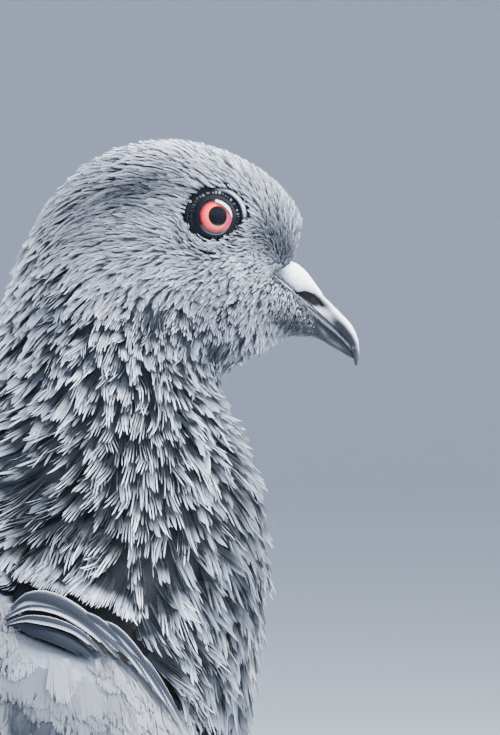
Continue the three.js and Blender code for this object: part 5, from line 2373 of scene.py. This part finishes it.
@dataclass
class Legs:
    """The bare, scaly lower legs and feet, and the claws.

    Fields: the voxel size of the skin, the length of a scale along the shank and along a toe,
    and how far a scale's edge stands up.
    """

    voxel: float = 0.3 * MM
    scale: float = 1.7 * MM
    toe_scale: float = 1.35 * MM
    edge: float = 0.17 * MM

    def skin(self, side: str) -> None:
        """Makes the skin of one bare leg, closed over its joints, with rows of scales."""
        nodes = [f"shank_{side}", f"foot_{side}"] + [f"toe_{name}_{side}" for name in TOE_NAMES]
        piece = joined_copy(f"leg_skin_{side}", nodes)
        melt(piece, 0.2 * MM, self.voxel, 8)
        place, facing = coordinates(piece), normals_of(piece)
        foot = np.array(middle_of(f"foot_{side}"))
        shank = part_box(f"shank_{side}")
        high = rise(place[:, 2], 6.5 * MM, 9.5 * MM)
        along = (place[:, 2] - shank[0].z) / self.scale
        row = np.floor(along)
        step = along - row
        away = np.hypot(place[:, 0] - foot[0], place[:, 1] - foot[1])
        toe_step = away / self.toe_scale % 1.0
        front = rise(facing[:, 0], -0.1, 0.4)
        top = rise(facing[:, 2], 0.0, 0.45) * rise(away, 2.0 * MM, 3.5 * MM)
        under = rise(facing[:, 2], -0.35, -0.7) * (1 - high)
        ridge = (1 - step) ** 0.5 * rise(step, 0.0, 0.12)
        toe_ridge = toe_step**0.5 * rise(toe_step, 1.0, 0.88)
        rise_by = self.edge * (high * front * ridge + (1 - high) * top * toe_ridge)
        nodule = np.sin(place @ np.array([5200.0, 900.0, 700.0])) * np.sin(
            place @ np.array([-800.0, 5400.0, 1100.0])
        ) * np.sin(place @ np.array([600.0, -900.0, 5000.0]))
        rest = np.clip(1 - high * front - (1 - high) * top, 0, 1)
        floor = rise(place[:, 2], 0.1 * MM, 0.7 * MM)
        relief = (rise_by + 0.09 * MM * nodule * rest) * floor
        move_vertices(piece, over_floor(place + facing * relief[:, None]))
        groove = high * front * rise(step, 0.14, 0.0) + (1 - high) * top * rise(toe_step, 0.86, 1.0)
        # Downward faces of the toes are painted darker as shade; the grooves between scales are darker
        # skin.
        red, pale, groove_and_shade = (np.array(linear(c)[:3]) for c in ("#a8535a", "#c9959a", "#4b2d35"))
        colour = red + (pale - red) * (0.35 * np.clip(nodule, 0, 1) * rest)[:, None]
        colour = colour + (groove_and_shade - colour) * np.clip(0.75 * groove + 0.3 * under, 0, 1)[:, None]
        paint(piece, "pigment", colour)
        finish = BareSkin("Scaly leg skin", 0.5, 0.4, 0.3, 0.14, 0.1)
        dressed(piece, finish.build(), "foot_skin", *nodes)

    def claws(self, side: str) -> None:
        """Makes the four claws of one foot."""
        nodes = [f"claw_{name}_{side}" for name in TOE_NAMES]
        piece = joined_copy(f"claws_{side}", nodes)
        apply_modifier(piece, "SUBSURF", levels=2, render_levels=2)
        bpy.ops.object.shade_smooth()
        place = over_floor(coordinates(piece))
        move_vertices(piece, place)
        tone = 0.12 + 0.1 * np.sin(place @ np.array([900.0, 700.0, 1300.0]))
        paint(piece, "pigment", pigment(tone))
        dressed(piece, BareSkin("Claw horn", 0.35, 0.4, 0.15, 0.1, 0.3).build(), "claw_horn", *nodes)

    def build(self) -> None:
        """Makes both legs."""
        for side in SIDES:
            self.skin(side)
            self.claws(side)
        LOG.info("legs")


# ---------------------------------------------------------------- studio


@dataclass(frozen=True)
class Matt:
    """A plain matt paint, used for the studio's floor and wall."""

    name: str
    colour: str
    roughness: float = 0.9

    def build(self) -> bpy.types.Material:
        """Makes the material."""
        material, tree, output = new_material(self.name)
        shader = add_node(
            tree, "BsdfPrincipled",
            {"Base Color": linear(self.colour), "Roughness": self.roughness},
        )
        tree.links.new(shader.outputs["BSDF"], output.inputs["Surface"])
        return material


@dataclass(frozen=True)
class Lamp:
    """A soft light.

    Fields: its name; its place; what it looks at; its two sizes, the second along its upright;
    its power; its colour; the way that its long side points; and whether the eye mirrors it.
    """

    name: str
    at: tuple[float, float, float]
    aim: tuple[float, float, float]
    size: tuple[float, float]
    power: float
    colour: tuple[float, float, float] = (1.0, 1.0, 1.0)
    along: tuple[float, float, float] = (1.0, 0.0, 0.0)
    shown: bool = True

    def build(self) -> None:
        """Hangs the light."""
        light = bpy.data.lights.new(self.name, "AREA")
        light.shape = "RECTANGLE"
        light.size, light.size_y = self.size
        light.energy, light.color = self.power, self.colour
        lamp = linked(self.name, light)
        back = (Vector(self.at) - Vector(self.aim)).normalized()
        side = (Vector(self.along) - back * back.dot(Vector(self.along))).normalized()
        turn = Matrix((side, back.cross(side), back)).transposed()
        lamp.visible_glossy = self.shown
        lamp.matrix_world = Matrix.Translation(self.at) @ turn.to_4x4()


@dataclass(frozen=True)
class Studio:
    """The floor with its curved backdrop, the lights and the camera.

    Fields: how far the camera stands from the bird; the middle of its view from the eye, forward
    and up in millimetres; the height of that view in millimetres; and the floor's radius with
    the radius and the number of steps of the curve round it.
    """

    distance: float = 0.9
    view: tuple[float, float] = (6.39, -23.45)
    height_mm: float = 119.5
    floor: float = 8.0
    curve: float = 3.0
    curve_steps: int = 8

    def backdrop(self) -> None:
        """Makes a large floor that rises in a curve on every side."""
        deselect_all()
        bpy.ops.mesh.primitive_circle_add(vertices=64, radius=self.floor, fill_type="NGON")
        floor = bpy.context.object
        floor.name = floor.data.name = "Floor"
        bpy.ops.object.mode_set(mode="EDIT")
        angles = [step / self.curve_steps * math.pi / 2 for step in range(self.curve_steps + 1)]
        for before, angle in zip(angles, angles[1:]):
            reach, last = (self.floor + self.curve * math.sin(turn) for turn in (angle, before))
            up = self.curve * (math.cos(before) - math.cos(angle))
            bpy.ops.mesh.extrude_region_move(TRANSFORM_OT_translate={"value": (0, 0, up)})
            bpy.ops.transform.resize(value=(reach / last, reach / last, 1))
        bpy.ops.mesh.extrude_region_move(TRANSFORM_OT_translate={"value": (0, 0, self.curve)})
        bpy.ops.mesh.delete(type="ONLY_FACE")
        bpy.ops.object.mode_set(mode="OBJECT")
        edit = bmesh.new()
        edit.from_mesh(floor.data)
        rim = [vertex for vertex in edit.verts if vertex.co.z < 1e-6]
        bmesh.ops.contextual_create(edit, geom=rim)
        bmesh.ops.recalc_face_normals(edit, faces=edit.faces)
        edit.to_mesh(floor.data)
        edit.free()
        bpy.ops.object.shade_smooth()
        floor.data.materials.append(Matt("Studio paint", "#d0d6df").build())

    def camera(self) -> None:
        """Sets up the camera square to the bird's right side."""
        data = bpy.data.cameras.new("Camera")
        camera = linked("Camera", data)
        middle = at_eye(*self.view)
        camera.location = (middle.x, -self.distance - 8 * MM, middle.z)
        camera.rotation_euler = (math.radians(90), 0, 0)
        data.sensor_fit, data.sensor_height = "VERTICAL", 36.0
        data.lens = 36.0 * self.distance / (self.height_mm * MM)
        data.clip_start = 0.01
        bpy.context.scene.camera = camera

    def build(self) -> None:
        """Makes the whole studio."""
        self.backdrop()
        self.camera()
        head = tuple(at_eye(0, -30))
        for lamp in (
            Lamp(
                "Key", (head[0] + 1.0, 0.04, head[2] + 0.9), head, (2.0, 0.34), 170.0,
                (0.965, 0.98, 1.0), (-0.69, 0.0, 0.72),
            ),
            Lamp(
                "Fill", (head[0] - 0.2, -1.3, head[2] + 1.1), head, (1.4, 1.0), 70.0,
                (0.95, 0.97, 1), shown=False,
            ),
            Lamp("Back", (head[0] + 0.1, 1.1, head[2] + 0.8), head, (0.9, 0.9), 28.0, (0.96, 0.98, 1)),
        ):
            lamp.build()
        world = bpy.data.worlds.new("Studio")
        bpy.context.scene.world = world
        world.use_nodes = True
        background = world.node_tree.nodes["Background"]
        background.inputs["Color"].default_value = (0.72, 0.8, 0.95, 1)
        background.inputs["Strength"].default_value = 0.9


# ---------------------------------------------------------------- the whole bird


def main() -> None:
    """Builds every part of the bird in order, and then the studio round it."""
    logging.basicConfig(level=logging.INFO, format="%(name)s: %(message)s")
    skin = Skin()
    skin.build()
    Coat(skin.ground).build()
    for side in SIDES:
        Eye(side, skin.form).build()
    Bill(skin.form).build()
    Plumes(skin.form).build()
    Wings(skin.form).build()
    Tail().build()
    Legs().build()
    Studio().build()


if __name__ == "__main__":
    main()
